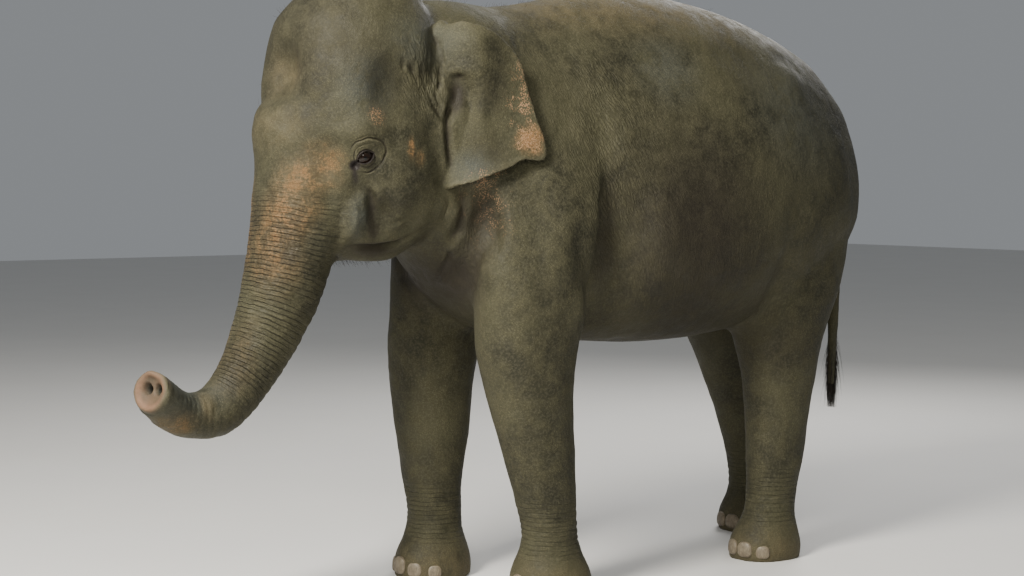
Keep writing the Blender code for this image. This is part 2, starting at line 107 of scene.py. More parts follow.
# height, inward and backward shift, half width, half length; the first rows are under the floor
FORELEG = table("""
-0.04 0 0 0.144 0.152
0.045 0 0 0.152 0.162
0.1 0 0 0.143 0.151
0.15 0 0.002 0.124 0.128
0.2 0 0.006 0.11 0.112
0.27 0 0.008 0.108 0.11
0.4 0 0.004 0.119 0.122
0.6 0 0 0.142 0.15
0.8 0 0.002 0.155 0.172
0.96 0 0.018 0.166 0.2
1.05 0.002 0.045 0.172 0.218
1.25 0.01 0.06 0.18 0.225
1.5 0.045 0.06 0.17 0.235
1.75 0.1 0.07 0.13 0.21
2 0.17 0.11 0.07 0.14
""")
HINDLEG = table("""
-0.04 0 0 0.128 0.15
0.045 0 0 0.138 0.16
0.1 0 0.002 0.13 0.148
0.15 0 0.01 0.114 0.126
0.2 0 0.016 0.104 0.114
0.29 0 0.022 0.101 0.112
0.42 0 0.024 0.11 0.124
0.6 0 0.014 0.126 0.138
0.78 0.002 -0.008 0.146 0.162
0.94 0.008 -0.025 0.168 0.2
1.15 0.02 -0.015 0.192 0.275
1.4 0.04 0.01 0.198 0.31
1.65 0.07 0.02 0.172 0.29
1.88 0.13 0.02 0.11 0.21
""")
LEG_POWER = 0.92
# Sideways and backward place of each foot, and of the joint that the leg hangs from
STANCE = {
    "fore_left": (FORELEG, (0.27, 0.095), (0.31, -0.1)),
    "fore_right": (FORELEG, (-0.27, -0.11), (-0.31, -0.09)),
    "hind_left": (HINDLEG, (0.25, 1.25), (0.29, 1.34)),
    "hind_right": (HINDLEG, (-0.25, 1.63), (-0.29, 1.475)),
}
HIP_HEIGHT = 1.35

# height, front, rear, half width
SKULL = table("""
2.345 -0.68 -0.5 0.15
2.3 -0.8 -0.42 0.235
2.2 -0.9 -0.36 0.3
2.05 -0.925 -0.35 0.332
1.92 -0.94 -0.35 0.334
1.78 -0.95 -0.34 0.328
1.65 -0.92 -0.305 0.316
1.53 -0.89 -0.295 0.292
1.44 -0.85 -0.34 0.252
1.37 -0.8 -0.41 0.2
1.315 -0.75 -0.5 0.12
""")
SKULL_POWERS = (0.8, 0.85)

# sideways, y, z of the centre line, half width, half depth
TRUNK = table("""
0 -0.72 2 0.15 0.15
0 -0.79 1.85 0.2 0.17
0 -0.835 1.7 0.206 0.168
0 -0.865 1.52 0.196 0.16
0 -0.898 1.35 0.174 0.153
0 -0.94 1.2 0.152 0.143
0 -1.003 1.05 0.13 0.124
0 -1.086 0.905 0.108 0.106
0.008 -1.195 0.79 0.092 0.094
0.036 -1.325 0.775 0.084 0.082
0.08 -1.425 0.822 0.083 0.08
0.124 -1.505 0.884 0.088 0.084
""")

# y and z at the head, then y, z and x at the rim, from the top row down
EAR = table("""
-0.41 2.18 -0.365 2.195 0.335
-0.425 2.125 -0.255 2.155 0.362
-0.43 2.04 -0.165 2.08 0.388
-0.43 1.93 -0.12 1.965 0.405
-0.43 1.81 -0.09 1.835 0.42
-0.425 1.71 -0.062 1.694 0.43
-0.415 1.64 -0.195 1.66 0.404
-0.405 1.585 -0.33 1.605 0.366
""")
EAR_SEAM = 0.27  # sideways place of the seam inside the head
EAR_FLARE = 0.75
EAR_BOW = 0.016

# sideways, y, z of the centre line, half width, half depth
TAIL = table("""
0 1.7 1.9 0.075 0.075
0 1.79 1.84 0.064 0.066
0 1.865 1.73 0.05 0.054
0.002 1.895 1.56 0.04 0.044
0.006 1.9 1.33 0.033 0.036
0.012 1.89 1.1 0.026 0.029
0.018 1.88 0.9 0.02 0.025
0.022 1.872 0.78 0.017 0.024
0.026 1.866 0.68 0.012 0.018
""")

# Strokes that shape the flesh, as in the solids: place, reach, push
FLESH_STROKES = strokes("""
0 -0.62 2.36  0.06 0.34 0.16  -0.024  # groove between the domes
0 -0.9 2.03  0.15 0.2 0.15  -0.034  # hollow of the forehead
0 -0.95 1.8  0.28 0.2 0.15  0.04  # boss over the trunk
0 0.6 2.42  0.12 1 0.14  0.012  # crest of the back
0.15 -0.62 2.32  0.16 0.26 0.16  0.018  # dome
0.33 -0.6 1.95  0.25 0.16 0.15  -0.03  # temple
0.3 -0.76 1.78  0.2 0.13 0.08  0.016  # brow
0.3 -0.745 1.69  0.2 0.07 0.06  -0.014  # eye socket
0.31 -0.54 1.64  0.25 0.2 0.2  0.022  # cheek
0.26 -0.75 1.53  0.16 0.075 0.16  -0.026  # furrow behind the trunk's root
0.16 -0.82 1.42  0.12 0.1 0.12  0.016  # tush sheath
0.42 0.2 1.62  0.3 0.11 0.4  -0.022  # hollow behind the shoulder
0.46 0.01 1.45  0.3 0.18 0.36  0.016  # shoulder
0.46 1.11 1.36  0.3 0.13 0.36  -0.024  # flank before the thigh
0.44 1.42 1.55  0.3 0.22 0.36  0.014  # haunch
""")

EYE = (0.284, -0.744, 1.693)  # centre of the left eye's solid

# Number of nails on each foot, and the angle between them in degrees
NAILS = {"fore_left": (5, 31), "fore_right": (5, 31), "hind_left": (4, 32), "hind_right": (4, 32)}
NAIL = (0.038, 0.017, 0.036)  # half sizes
NAIL_HEIGHT = 0.054
NAIL_OUT = 0.95  # share of the foot's radius
NAIL_TAPER = 0.28  # how much smaller the outermost nails are
FOOT_ROW = 1  # of the leg's table, which the nails stand on

# ---------------- mesh helpers


def add_object(name, data):
    thing = bpy.data.objects.new(name, data)
    bpy.context.scene.collection.objects.link(thing)
    return thing


def from_work(name, work):
    """The object of a bmesh, which is used up."""
    mesh = bpy.data.meshes.new(name)
    work.to_mesh(mesh)
    work.free()
    return add_object(name, mesh)


def mesh_object(name, points, faces):
    mesh = bpy.data.meshes.new(name)
    mesh.from_pydata([tuple(point) for point in points], [], [tuple(face) for face in faces])
    mesh.update()
    return add_object(name, mesh)


def modify(thing, kind, **settings):
    """Puts what a modifier makes into the object's mesh."""
    modifier = thing.modifiers.new("work", kind)
    for key, value in settings.items():
        setattr(modifier, key, value)
    graph = bpy.context.evaluated_depsgraph_get()
    mesh = bpy.data.meshes.new_from_object(thing.evaluated_get(graph))
    thing.modifiers.clear()
    thing.data = mesh


def smooth(thing, rounds):
    modify(thing, "SMOOTH", factor=0.5, iterations=rounds)


def fuse(things, grain):
    """One skin over all these solids."""
    work = bmesh.new()
    for thing in things:
        work.from_mesh(thing.data)
        bpy.data.objects.remove(thing)
    whole = from_work("skin", work)
    modify(whole, "REMESH", mode="VOXEL", voxel_size=grain)
    return whole


def curve_through(keys, steps):
    """Rows on a smooth curve through the key rows, with this many steps between keys."""
    rows = []
    last = len(keys) - 1
    for i in range(last):
        near = (keys[max(i - 1, 0)], keys[i], keys[i + 1], keys[min(i + 2, last)])
        for step in range(steps):
            t = step / steps
            weights = (
                0.5 * (-t + 2 * t * t - t ** 3),
                0.5 * (2 - 5 * t * t + 3 * t ** 3),
                0.5 * (t + 4 * t * t - 3 * t ** 3),
                0.5 * (-t * t + t ** 3),
            )
            rows.append([sum(w * v for w, v in zip(weights, column)) for column in zip(*near)])
    rows.append(list(keys[-1]))
    return rows


def power(value, exponent):
    return math.copysign(abs(value) ** exponent, value)


def round_angles(sides):
    return [2 * math.pi * k / sides for k in range(sides)]


def tube(name, rings):
    """A closed solid through rings of points, which all have the same number of points."""
    sides = len(rings[0])
    points = [point for ring in rings for point in ring]
    faces = [range(sides)[::-1], range(len(points) - sides, len(points))]
    for here in range(0, len(points) - sides, sides):
        for k in range(sides):
            after = (k + 1) % sides
            faces.append((here + k, here + after, here + sides + after, here + sides + k))
    return mesh_object(name, points, faces)


def loft(name, rows, sides, point):
    """A tube with a ring for each row; point places a ring's angle from its cosine and sine."""
    angles = round_angles(sides)
    return tube(name, [[point(math.cos(a), math.sin(a), *row) for a in angles] for row in rows])


def swept_tube(name, rows, sides):
    """A tube along a centre line, from rows of x, y, z, half width and half depth."""
    rings = []
    for i, (x, y, z, half, deep) in enumerate(rows):
        ahead = Vector(rows[min(i + 1, len(rows) - 1)][:3])
        behind = Vector(rows[max(i - 1, 0)][:3])
        along = (ahead - behind).normalized()
        across = Vector((1, 0, 0))
        across = (across - along * across.dot(along)).normalized()
        up = along.cross(across)
        ring = []
        for angle in round_angles(sides):
            offset = across * half * math.cos(angle) + up * deep * math.sin(angle)
            ring.append(Vector((x, y, z)) + offset)
        rings.append(ring)
    return tube(name, rings)


def sphere(name, segments, rings, place):
    """A sphere of radius 1, whose points are put where place says."""
    work = bmesh.new()
    bmesh.ops.create_uvsphere(work, u_segments=segments, v_segments=rings, radius=1)
    for vertex in work.verts:
        vertex.co = place(*vertex.co)
    return from_work(name, work)


# ---------------- fields over points


def ramp(x, low, high):
    """0 below low and 1 above high, with a smooth step between; low may be above high."""
    t = np.clip((x - low) / (high - low), 0, 1)
    return t * t * (3 - 2 * t)


def hump(x, middle, half):
    """1 at the middle, falling smoothly to 0 at half a width on either side."""
    t = np.clip(1 - ((x - middle) / half) ** 2, 0, 1)
    return t * t


def bell(x, middle, half):
    """1 at the middle, falling to a third at half a width and fading out beyond."""
    return np.exp(-(((x - middle) / half) ** 2))


def mirrored(p):
    """The points with their right side folded onto the left."""
    q = p.copy()
    q[:, 0] = np.abs(q[:, 0])
    return q


def blob(p, place, reach):
    """1 at a place, falling smoothly to 0 at its reach along each axis."""
    far = (((p - np.array(place)) / np.array(reach)) ** 2).sum(1)
    return np.clip(1 - far, 0, None) ** 2


def blobs(p, rows):
    return sum(amount * blob(p, place, reach) for place, reach, amount in rows)


def scatter(x, y, z, seed):
    """A number from 0 to 1 for each corner of a grid."""
    with np.errstate(over="ignore"):
        n = x * np.uint32(374761393) + y * np.uint32(668265263) + z * np.uint32(2147483647)
        n = n + np.uint32(seed * 97) * np.uint32(1274126177)
        n = (n ^ (n >> np.uint32(13))) * np.uint32(1103515245)
        n = (n ^ (n >> np.uint32(16))) * np.uint32(2246822519)
        n = n ^ (n >> np.uint32(15))
    return n.astype(np.float32) / 4294967295.0


def noise(p, size, seed=0):
    """Soft lumps of about this size, from -1 to 1; size may be given for each axis."""
    q = p / np.array(size) + 1000.0
    cell = np.floor(q)
    t = q - cell
    t = t * t * (3 - 2 * t)
    total = 0
    for corner in itertools.product((0, 1), repeat=3):
        wx, wy, wz = (w if d else 1 - w for d, w in zip(corner, t.T))
        total = total + wx * wy * wz * scatter(*(cell + corner).astype(np.uint32).T, seed)
    return total * 2 - 1


def grooves(u, sharp=0.6):
    """Rounded ridges with narrow grooves between them, one for each whole number of u; -1 to 0.3."""
    return np.abs(np.sin(math.pi * u)) ** sharp * 1.3 - 1


def line_distance(p, line, reach):
    """Distance to a broken line in space, and how far along it from 0 to 1, for points within
    reach of it; big distances elsewhere."""
    line = np.array(line, float)
    far = np.full(len(p), 9.0)
    along = np.zeros(len(p))
    inside = np.all((p > line.min(0) - reach) & (p < line.max(0) + reach), axis=1)
    q = p[inside]
    near = np.full(len(q), 9.0)
    where = np.zeros(len(q))
    lengths = np.linalg.norm(np.diff(line, axis=0), axis=1)
    start = 0.0
    for a, b, length in zip(line[:-1], line[1:], lengths):
        t = np.clip((q - a) @ (b - a) / length ** 2, 0, 1)
        d = np.linalg.norm(q - a - t[:, None] * (b - a), axis=1)
        closer = d < near
        near[closer] = d[closer]
        where[closer] = (start + t[closer] * length) / lengths.sum()
        start += length
    far[inside] = near
    along[inside] = where
    return far, along


def crease(p, line, width, depth, lip=0.15):
    """A narrow valley along a line, with low lips at its sides and thinner at its ends."""
    d, along = line_distance(p, line, 4 * width)
    d = d / width
    ends = ramp(along, 0, 0.22) * ramp(along, 1, 0.78)
    return depth * (0.15 + 0.85 * ends) * (lip * bell(d, 2.0, 0.9) - np.exp(-(d ** 2)))


def vectors(items, name):
    flat = np.empty(len(items) * 3, np.float32)
    items.foreach_get(name, flat)
    return flat.reshape(-1, 3).astype(float)


class Surface:
    """The points and normals of a mesh, as arrays."""

    def __init__(self, thing):
        self.mesh = thing.data
        self.read()

    def read(self):
        self.p = vectors(self.mesh.vertices, "co")
        self.n = vectors(self.mesh.vertex_normals, "vector")

    def write(self):
        self.mesh.vertices.foreach_set("co", self.p.astype(np.float32).ravel())
        self.mesh.update()
        self.read()

    def push(self, amount):
        self.p += self.n * amount[:, None]
        self.write()

    def model(self, rows):
        """Pushes the surface out or in with strokes on both sides."""
        for place, reach, push in rows:
            self.push(blob(mirrored(self.p), place, reach) * push)


# ---------------- flesh


def torso():
    def point(c, s, y, top, bottom, half, widest):
        if s > 0:
            rise = (top - widest) * s ** BACK_POWER
        else:
            rise = (bottom - widest) * (-s) ** BELLY_POWER
        return half * power(c, FLANK_POWER), y, widest + rise

    return loft("torso", curve_through(TORSO, 8), 120, point)


def neck():
    def point(c, s, y, z, half, tall):
        return half * c, y, z + tall * s

    return loft("neck", curve_through(NECK, 8), 80, point)


def leg(name):
    rows, foot, hip = STANCE[name]
    side = math.copysign(1, foot[0])

    def point(c, s, height, inward, back, half, long):
        share = min(max(height / HIP_HEIGHT, 0), 1)
        share = share * share * (3 - 2 * share)
        x = foot[0] + (hip[0] - foot[0]) * share - side * inward
        y = foot[1] + (hip[1] - foot[1]) * share + back
        return x + half * power(c, LEG_POWER), y + long * power(s, LEG_POWER), height

    return loft("leg_" + name, curve_through(rows, 6), 64, point)


def skull():
    def point(c, s, height, front, rear, half):
        back = (rear - front) / 2 * power(s, SKULL_POWERS[1])
        return half * power(c, SKULL_POWERS[0]), (front + rear) / 2 + back, height

    return loft("skull", curve_through(SKULL, 8), 90, point)


def unit(vector, square_to=None):
    """The direction of a vector, or of the part of it that is square to another direction."""
    vector = np.array(vector, float)
    if square_to is not None:
        vector = vector - square_to * (vector @ square_to)
    return vector / np.linalg.norm(vector)


# The trunk's end is cut square to this direction, a little past the last row of its table
TIP = np.array((0.124, -1.508, 0.886))
TIP_OUT = unit((0.33, -0.92, 0.21))
TIP_UP = unit((0, 0, 1), TIP_OUT)
TIP_ACROSS = np.cross(TIP_UP, TIP_OUT)


def trunk():
    last, before = TRUNK[-1], TRUNK[-2]
    beyond = [a + 0.45 * (a - b) for a, b in zip(last[:3], before[:3])] + [0.088, 0.084]
    return swept_tube("trunk", curve_through(TRUNK + (tuple(beyond),), 10), 72)


# Strokes under the ears, made before the ears are joined
UNDER_EARS = strokes("""
0.42 -0.2 1.9  0.26 0.19 0.34  -0.034
0.42 -0.13 1.72  0.26 0.13 0.16  -0.02
0.31 -0.4 2.14  0.16 0.07 0.09  0.012
""")


def body():
    """The flesh without ears and tail, fused and shaped as the solids are."""
    whole = fuse([torso(), neck(), skull(), trunk()] + [leg(name) for name in STANCE], ROUGH_GRAIN)
    smooth(whole, 15)
    Surface(whole).model(FLESH_STROKES + UNDER_EARS)
    smooth(whole, 7)
    surface = Surface(whole)
    p = surface.p
    p[:, 2] = np.maximum(p[:, 2], 0)
    past = (p - TIP) @ TIP_OUT
    past = np.where((past > 0) & (p[:, 1] < -1.2), past, 0)
    p -= past[:, None] * TIP_OUT
    surface.write()
    return whole


# ---------------- ears

EAR_ROWS = 12  # between two rows of the table
EAR_COLUMNS = 44


def ear(side):
    """One ear: its outer and inner faces, closed at the rim."""
    rows = curve_through(EAR, EAR_ROWS)
    rings = []
    for i, (seam_y, seam_z, rim_y, rim_z, rim_x) in enumerate(rows):
        v = i / (len(rows) - 1)
        outer = []
        inner = []
        for k in range(EAR_COLUMNS):
            t = k / (EAR_COLUMNS - 1)
            x = EAR_SEAM + (rim_x - EAR_SEAM) * t ** EAR_FLARE + EAR_BOW * math.sin(math.pi * t)
            y = seam_y + (rim_y - seam_y) * t
            z = seam_z + (rim_z - seam_z) * t + 0.026 * bell(v, 0.805, 0.034) * t ** 2
            # a thick upper lobe, a hollow under it beside the head, a ridge, and a waved rim
            back = ramp(y, -0.375, -0.25)
            lobe = ramp(z, 1.955 - 0.14 * back, 2.01 + 0.05 * back) * ramp(z, 2.21, 2.11)
            lobe *= bell(y, -0.345, 0.1)
            hollow = bell(z, 1.912, 0.066) * bell(y, -0.374 - 0.25 * (z - 1.915), 0.033)
            ridge = bell(y, -0.31 - 0.1 * (z - 1.9), 0.03) * bell(z, 1.86, 0.12)
            bowl = bell(z, 1.84, 0.15) * bell(y, -0.205, 0.07)
            wave = math.sin(v * 23.0) * 0.004 * t ** 4 + math.sin(v * 9.0 + 1.0) * 0.006 * t ** 3
            x += 0.034 * lobe - 0.058 * hollow + 0.01 * ridge - 0.012 * bowl + wave + 0.012 * t
            x -= 0.024 * max(0, 1 - v / 0.1) * (1 - 0.5 * t)
            half = (0.03 - 0.012 * t ** 0.6) / 2 + 0.008 * lobe
            outer.append((side * (x + half), y, z))
            inner.append((side * (x - half), y, z))
        rings.append((outer + inner[::-1])[::side])
    return tube("ear", rings)


def ear_root(side):
    """Flesh that fills the corner between the top of an ear and the head."""

    def place(x, y, z):
        return side * 0.26 + 0.032 * x, -0.402 + 0.036 * y, 2.15 + 0.05 * z

    return sphere("ear_root", 32, 20, place)


# ---------------- modelling of the fine skin

TRUNK_LINE = np.array(curve_through(TRUNK, 12))
TRUNK_ROOT = -0.62  # y, which all of the trunk lies before
TRUNK_STEPS = np.linalg.norm(np.diff(TRUNK_LINE[:, :3], axis=0), axis=1)
TRUNK_RUN = np.concatenate(([0], np.cumsum(TRUNK_STEPS)))


def along_trunk(p):
    """How far along the trunk's middle line each point is, how much it belongs to the trunk, and
    how far it is to the rear of the trunk, from -1 in front to 1 behind."""
    run, share, rear = np.zeros((3, len(p)))
    x, y, z = p.T
    near = (y < TRUNK_ROOT) & (np.abs(x) < 0.3) & (z > 0.6) & (z < 2.05)
    q = p[near]
    best = np.full(len(q), 9.0)
    index = np.zeros(len(q), int)
    for i, row in enumerate(TRUNK_LINE):
        d = np.linalg.norm(q - row[:3], axis=1)
        closer = d < best
        best[closer] = d[closer]
        index[closer] = i
    low = np.clip(index - 1, 0, len(TRUNK_LINE) - 2)
    high = np.minimum(low + 2, len(TRUNK_LINE) - 1)
    a = TRUNK_LINE[low, :3]
    step = TRUNK_LINE[high, :3] - a
    t = ((q - a) * step).sum(1) / (step * step).sum(1)
    run[near] = TRUNK_RUN[low] + t * (TRUNK_RUN[high] - TRUNK_RUN[low])
    radius = (TRUNK_LINE[index, 3] + TRUNK_LINE[index, 4]) / 2
    share[near] = ramp(best / radius, 1.55, 1.25)
    way = step / np.linalg.norm(step, axis=1)[:, None]
    back = np.array((0.0, 1.0, 0.0)) - way * way[:, 1:2]
    back /= np.linalg.norm(back, axis=1)[:, None]
    rear[near] = ((q - TRUNK_LINE[index, :3]) * back).sum(1) / radius
    return run, share, rear


# Broader strokes on the fine skin: place, reach, push
FORM_STROKES = strokes("""
0 -0.905 1.99  0.18 0.2 0.15  -0.02  # depth of the forehead hollow
0.2 -0.88 2  0.07 0.12 0.18  0.01  # its rim
0.1 -0.93 1.86  0.12 0.1 0.06  0.012  # upper edge of the boss
0.34 -0.67 1.95  0.2 0.14 0.2  -0.024  # sunken temple
0.33 -0.56 1.79  0.2 0.17 0.06  0.004  # cheekbone
0.29 -0.8 1.78  0.16 0.09 0.06  0.008  # brow
0.24 -0.86 1.7  0.16 0.06 0.1  -0.008  # before the eye
0.33 -0.52 2.08  0.16 0.09 0.13  0.01  # swelling before the ear
0.34 -0.43 1.8  0.16 0.09 0.15  -0.01  # hollow before the ear
0.23 -0.752 1.47  0.12 0.056 0.11  0.034  # tush sheath
0.19 -0.775 1.37  0.12 0.04 0.07  0.012
0.262 -0.66 1.48  0.12 0.08 0.115  -0.028  # furrow behind it
0.3 -0.6 1.54  0.15 0.11 0.09  0.01  # jowl
0.12 -0.6 1.335  0.11 0.16 0.045  0.01  # lower lip
0.28 -0.42 1.49  0.16 0.14 0.13  0.022  # corner of the jaw
0.29 -0.398 1.5  0.16 0.06 0.15  0.019
0.33 -0.265 1.45  0.2 0.085 0.18  -0.06  # neck behind it
0.22 -0.3 1.27  0.13 0.08 0.14  -0.022
0.4 0 1.95  0.25 0.1 0.2  0.01  # shoulder blade
0.5 0.01 1.34  0.24 0.14 0.32  0.026  # upper arm
0.48 0.08 1.12  0.2 0.08 0.12  0.016  # elbow
0.54 0.3 1.34  0.26 0.16 0.4  -0.028  # hollow behind the elbow
0.5 0.95 2.1  0.25 0.22 0.14  -0.01  # hollow before the hip
0.46 1.22 2.02  0.2 0.13 0.12  0.014  # hip bone
0.2 1.6 2.02  0.15 0.14 0.16  -0.01  # hollow beside the tail's root
0.52 1.1 1.2  0.25 0.09 0.24  -0.022  # fold before the knee
0 1.2 2.4  0.07 0.5 0.16  0.01  # spine over the rump
""")

# Narrow creases, as width, depth and the points of the line
CREASES = tuple((np.reshape(row[2:], (-1, 3)), *row[:2]) for row in table("""
# furrow behind the trunk's root
0.015 0.017  0.268 -0.728 1.59  0.266 -0.712 1.554  0.262 -0.7 1.514  0.254 -0.684 1.475  0.242 -0.672 1.43
# cheek fold that runs up and back from it
0.01 0.005  0.243 -0.66 1.44  0.246 -0.638 1.436  0.258 -0.605 1.452  0.27 -0.56 1.47
0.009 0.004  0.235 -0.64 1.412  0.25 -0.585 1.425  0.262 -0.52 1.455
# mouth
0.013 0.022  0.155 -0.75 1.372  0.18 -0.715 1.362  0.195 -0.646 1.362  0.204 -0.57 1.372  0.215 -0.52 1.395
0.013 0.007  0.21 -0.54 1.385  0.232 -0.49 1.415  0.24 -0.43 1.455
# front of the sheath, against the trunk
0.013 0.004  0.234 -0.8 1.55  0.222 -0.812 1.48  0.2 -0.83 1.4
# under the ear's upper lobe
0.015 0.018  0.335 -0.398 1.962  0.342 -0.376 1.992  0.35 -0.335 2.004  0.355 -0.295 1.996
0.018 0.026  0.335 -0.392 1.975  0.335 -0.384 1.93  0.33 -0.39 1.878  0.325 -0.408 1.835
# before the ear
0.012 0.02  0.324 -0.396 1.915  0.324 -0.412 1.86  0.324 -0.416 1.79  0.318 -0.406 1.72  0.306 -0.388 1.64
0.008 0.007  0.312 -0.6 2.05  0.315 -0.544 1.989  0.315 -0.491 1.914  0.318 -0.452 1.863  0.32 -0.421 1.806
0.007 0.005  0.305 -0.614 2.086  0.31 -0.592 1.996  0.312 -0.54 1.914
0.007 0.007  0.3 -0.575 2.104  0.31 -0.566 2.014  0.315 -0.504 1.906  0.32 -0.434 1.827
0.007 0.007  0.3 -0.531 2.115  0.31 -0.522 1.986  0.315 -0.465 1.878  0.32 -0.421 1.812
0.007 0.008  0.3 -0.487 2.112  0.315 -0.491 1.996  0.318 -0.447 1.878  0.32 -0.418 1.816
0.009 0.012  0.29 -0.44 2.14  0.31 -0.434 2.05  0.315 -0.443 1.965  0.318 -0.462 1.92
# jaw's rear edge
0.018 0.016  0.305 -0.35 1.6  0.29 -0.325 1.5  0.262 -0.33 1.425  0.2 -0.375 1.345
# neck and chest
0.022 0.01  0.335 -0.262 1.56  0.32 -0.262 1.4  0.27 -0.27 1.26  0.2 -0.26 1.15
0.012 0.007  0.235 -0.33 1.44  0.19 -0.32 1.33  0.12 -0.32 1.25  0.04 -0.31 1.2
0.01 0.005  0.16 -0.36 1.4  0.1 -0.35 1.31  0.03 -0.335 1.26
# skin that hangs from the flank to the knee
0.018 0.009  0.52 1.06 1.3  0.5 1.06 1.18  0.44 1.05 1.08
"""))

# Folds around the legs: 1 for the forelegs or 0 for the hind legs, height, width, depth
LEG_FOLDS = table("""
1 0.205 0.009 0.005
1 0.232 0.008 0.005
1 0.262 0.009 0.006
1 0.296 0.009 0.004
1 0.332 0.01 0.004
0 0.2 0.009 0.005
0 0.236 0.008 0.004
0 0.275 0.01 0.004
""")


# Where long wrinkles run over the body: place, reach, amount
WRINKLED = strokes("""
0.46 0.27 1.6  0.5 0.34 0.72  0.75  # shoulder
0.4 0.8 1.08  0.5 0.75 0.34  0.7  # belly
0.2 -0.28 1.3  0.24 0.18 0.32  0.5  # throat
0.36 -0.12 2.02  0.3 0.3 0.3  0.4  # nape
""")


def on_ear(q):
    """1 about the ears, 0 elsewhere."""
    x, y, z = q.T
    across = ramp(y, -0.42, -0.39) * ramp(y, -0.02, -0.06)
    return across * ramp(z, 1.54, 1.58) * ramp(z, 2.25, 2.2) * ramp(x, 0.3, 0.33)


def fold_masks(p):
    """How strongly the skin is wrinkled across and along, place by place."""
    q = mirrored(p)
    y, z = p[:, 1], p[:, 2]
    run, share, rear = along_trunk(p)
    rings = share * ramp(run, 0.36, 0.66) * ramp(run, 1.34, 1.16)
    rings *= 1 - 0.8 * ramp(rear, -0.1, 0.75)
    wrists = 0.45 * ramp(z, 0.46, 0.34) * ramp(z, 0.12, 0.17) * ramp(y, -0.62, -0.58)
    before_ear = blob(q, (0.3, -0.5, 2.0), (0.26, 0.17, 0.27)) * ramp(y, -0.4, -0.42)
    along = 0.16 * (ramp(y, -0.42, -0.2) * ramp(z, 0.98, 1.2)) + 0.9 * before_ear
    for place, reach, amount in WRINKLED:
        along += amount * blob(q, place, reach)
    along *= 1 - 0.6 * ramp(z, 2.15, 2.33)
    along *= 1 - 0.7 * on_ear(q)
    along *= 0.75 + 0.35 * noise(p, 0.22, 21)
    return run, share, rear, rings, wrists, np.clip(along, 0, 1)


def slant(p):
    """A coordinate across the long wrinkles of the flanks, which lean back as they go down."""
    y, z = p[:, 1], p[:, 2]
    lean = 0.42 * hump(y, 0.25, 0.7) - 0.25 * hump(y, 1.15, 0.3)
    flank = y + lean * (z - 1.6)
    # before the ears they fan out upward from the groove
    fan = (y + 0.44) * 0.34 / (np.maximum(z, 1.86) - 1.66) - 0.44
    return np.where(y < -0.405, fan, flank)


def relief(p):
    """Height of the skin's folds over its smooth form, in metres."""
    q = mirrored(p)
    y, z = p[:, 1], p[:, 2]
    run, share, rear, rings, wrists, along = fold_masks(p)
    rough = noise(p, 0.11, 3)
    fine = noise(p, 0.035, 4)
    total = np.zeros(len(p))
    for line, width, depth in CREASES:
        total += crease(q, line, width, depth)
    # rings of the trunk: every few grooves one is deeper
    ring = run + 0.01 * rough + 0.004 * fine - 0.03 * ramp(rear, 0.0, 1.2)
    total += rings * (0.55 + 0.45 * noise(p, 0.06, 14)) * 0.0022 * grooves(ring / 0.019, 0.7)
    total += rings * (0.6 + 0.4 * rough) * 0.0026 * grooves(ring / 0.066 + 0.4 * rough, 0.5)
    # folds on the trunk's rear side and its bend
    total += share * ramp(rear, -0.1, 0.8) * 0.0024 * grooves(run / 0.034 + 0.6 * rough, 0.6)
    # ankles and wrists
    fold = z + 0.016 * rough + 0.005 * fine
    total += wrists * (0.5 + 0.5 * noise(p, 0.06, 15)) * 0.003 * grooves(fold / 0.024, 0.6)
    strength = np.clip(0.35 + 0.9 * noise(p, 0.08, 9), 0, 1)
    for front, height, width, depth in LEG_FOLDS:
        level = height + 0.02 * rough + 0.005 * fine
        total -= ((y < 0.7) == front) * depth * bell(z, level, width) * strength
    # long wrinkles of the shoulder, belly, throat and before the ear
    across = slant(p) + 0.016 * rough + 0.005 * fine
    for size, seed, height, gap, sharp in (
        ((0.05, 0.05, 0.14), 5, 0.0022, 0.027, 0.6),
        ((0.12, 0.12, 0.3), 6, 0.0036, 0.078, 0.5),
    ):
        total += along * (0.5 + 0.5 * noise(p, size, seed)) * height * grooves(across / gap, sharp)
    # soft lumps everywhere
    total += 0.0045 * noise(p, 0.2, 7) + 0.0022 * noise(p, 0.07, 8) + 0.0008 * noise(p, 0.025, 10)
    return total * (1 - 0.55 * on_ear(q))


def part_upper_arm(p):
    """Sinks the flank behind each upper foreleg, so that the arm stands before it with an edge."""
    x, y, z = mirrored(p).T
    behind = y - (0.125 + 0.11 * (z - 1.1) + 0.006 * noise(p, 0.08, 17))
    sink = 0.05 * ramp(behind, -0.01, 0.026) * ramp(behind, 0.33, 0.04)
    sink *= ramp(z, 1.74, 1.4) * ramp(z, 0.96, 1.1) * ramp(x, 0.24, 0.36)
    rise = 0.01 * hump(behind, -0.035, 0.06) * ramp(z, 1.7, 1.45) * ramp(z, 0.95, 1.12)
    p[:, 0] -= np.sign(p[:, 0]) * (sink - rise * ramp(x, 0.24, 0.36))


def skin_form():
    """The whole skin at its fine grain: fused, shaped and folded."""
    tail = swept_tube("tail", curve_through(TAIL, 8), 24)
    whole = fuse([body(), ear(1), ear(-1), ear_root(1), ear_root(-1), tail], GRAIN)
    smooth(whole, 4)
    surface = Surface(whole)
    surface.model(FORM_STROKES)
    part_upper_arm(surface.p)
    surface.write()
    surface.push(relief(surface.p))
    surface.p[:, 2] = np.where(surface.p[:, 2] < SOLE, 0, surface.p[:, 2])
    surface.write()
    return whole


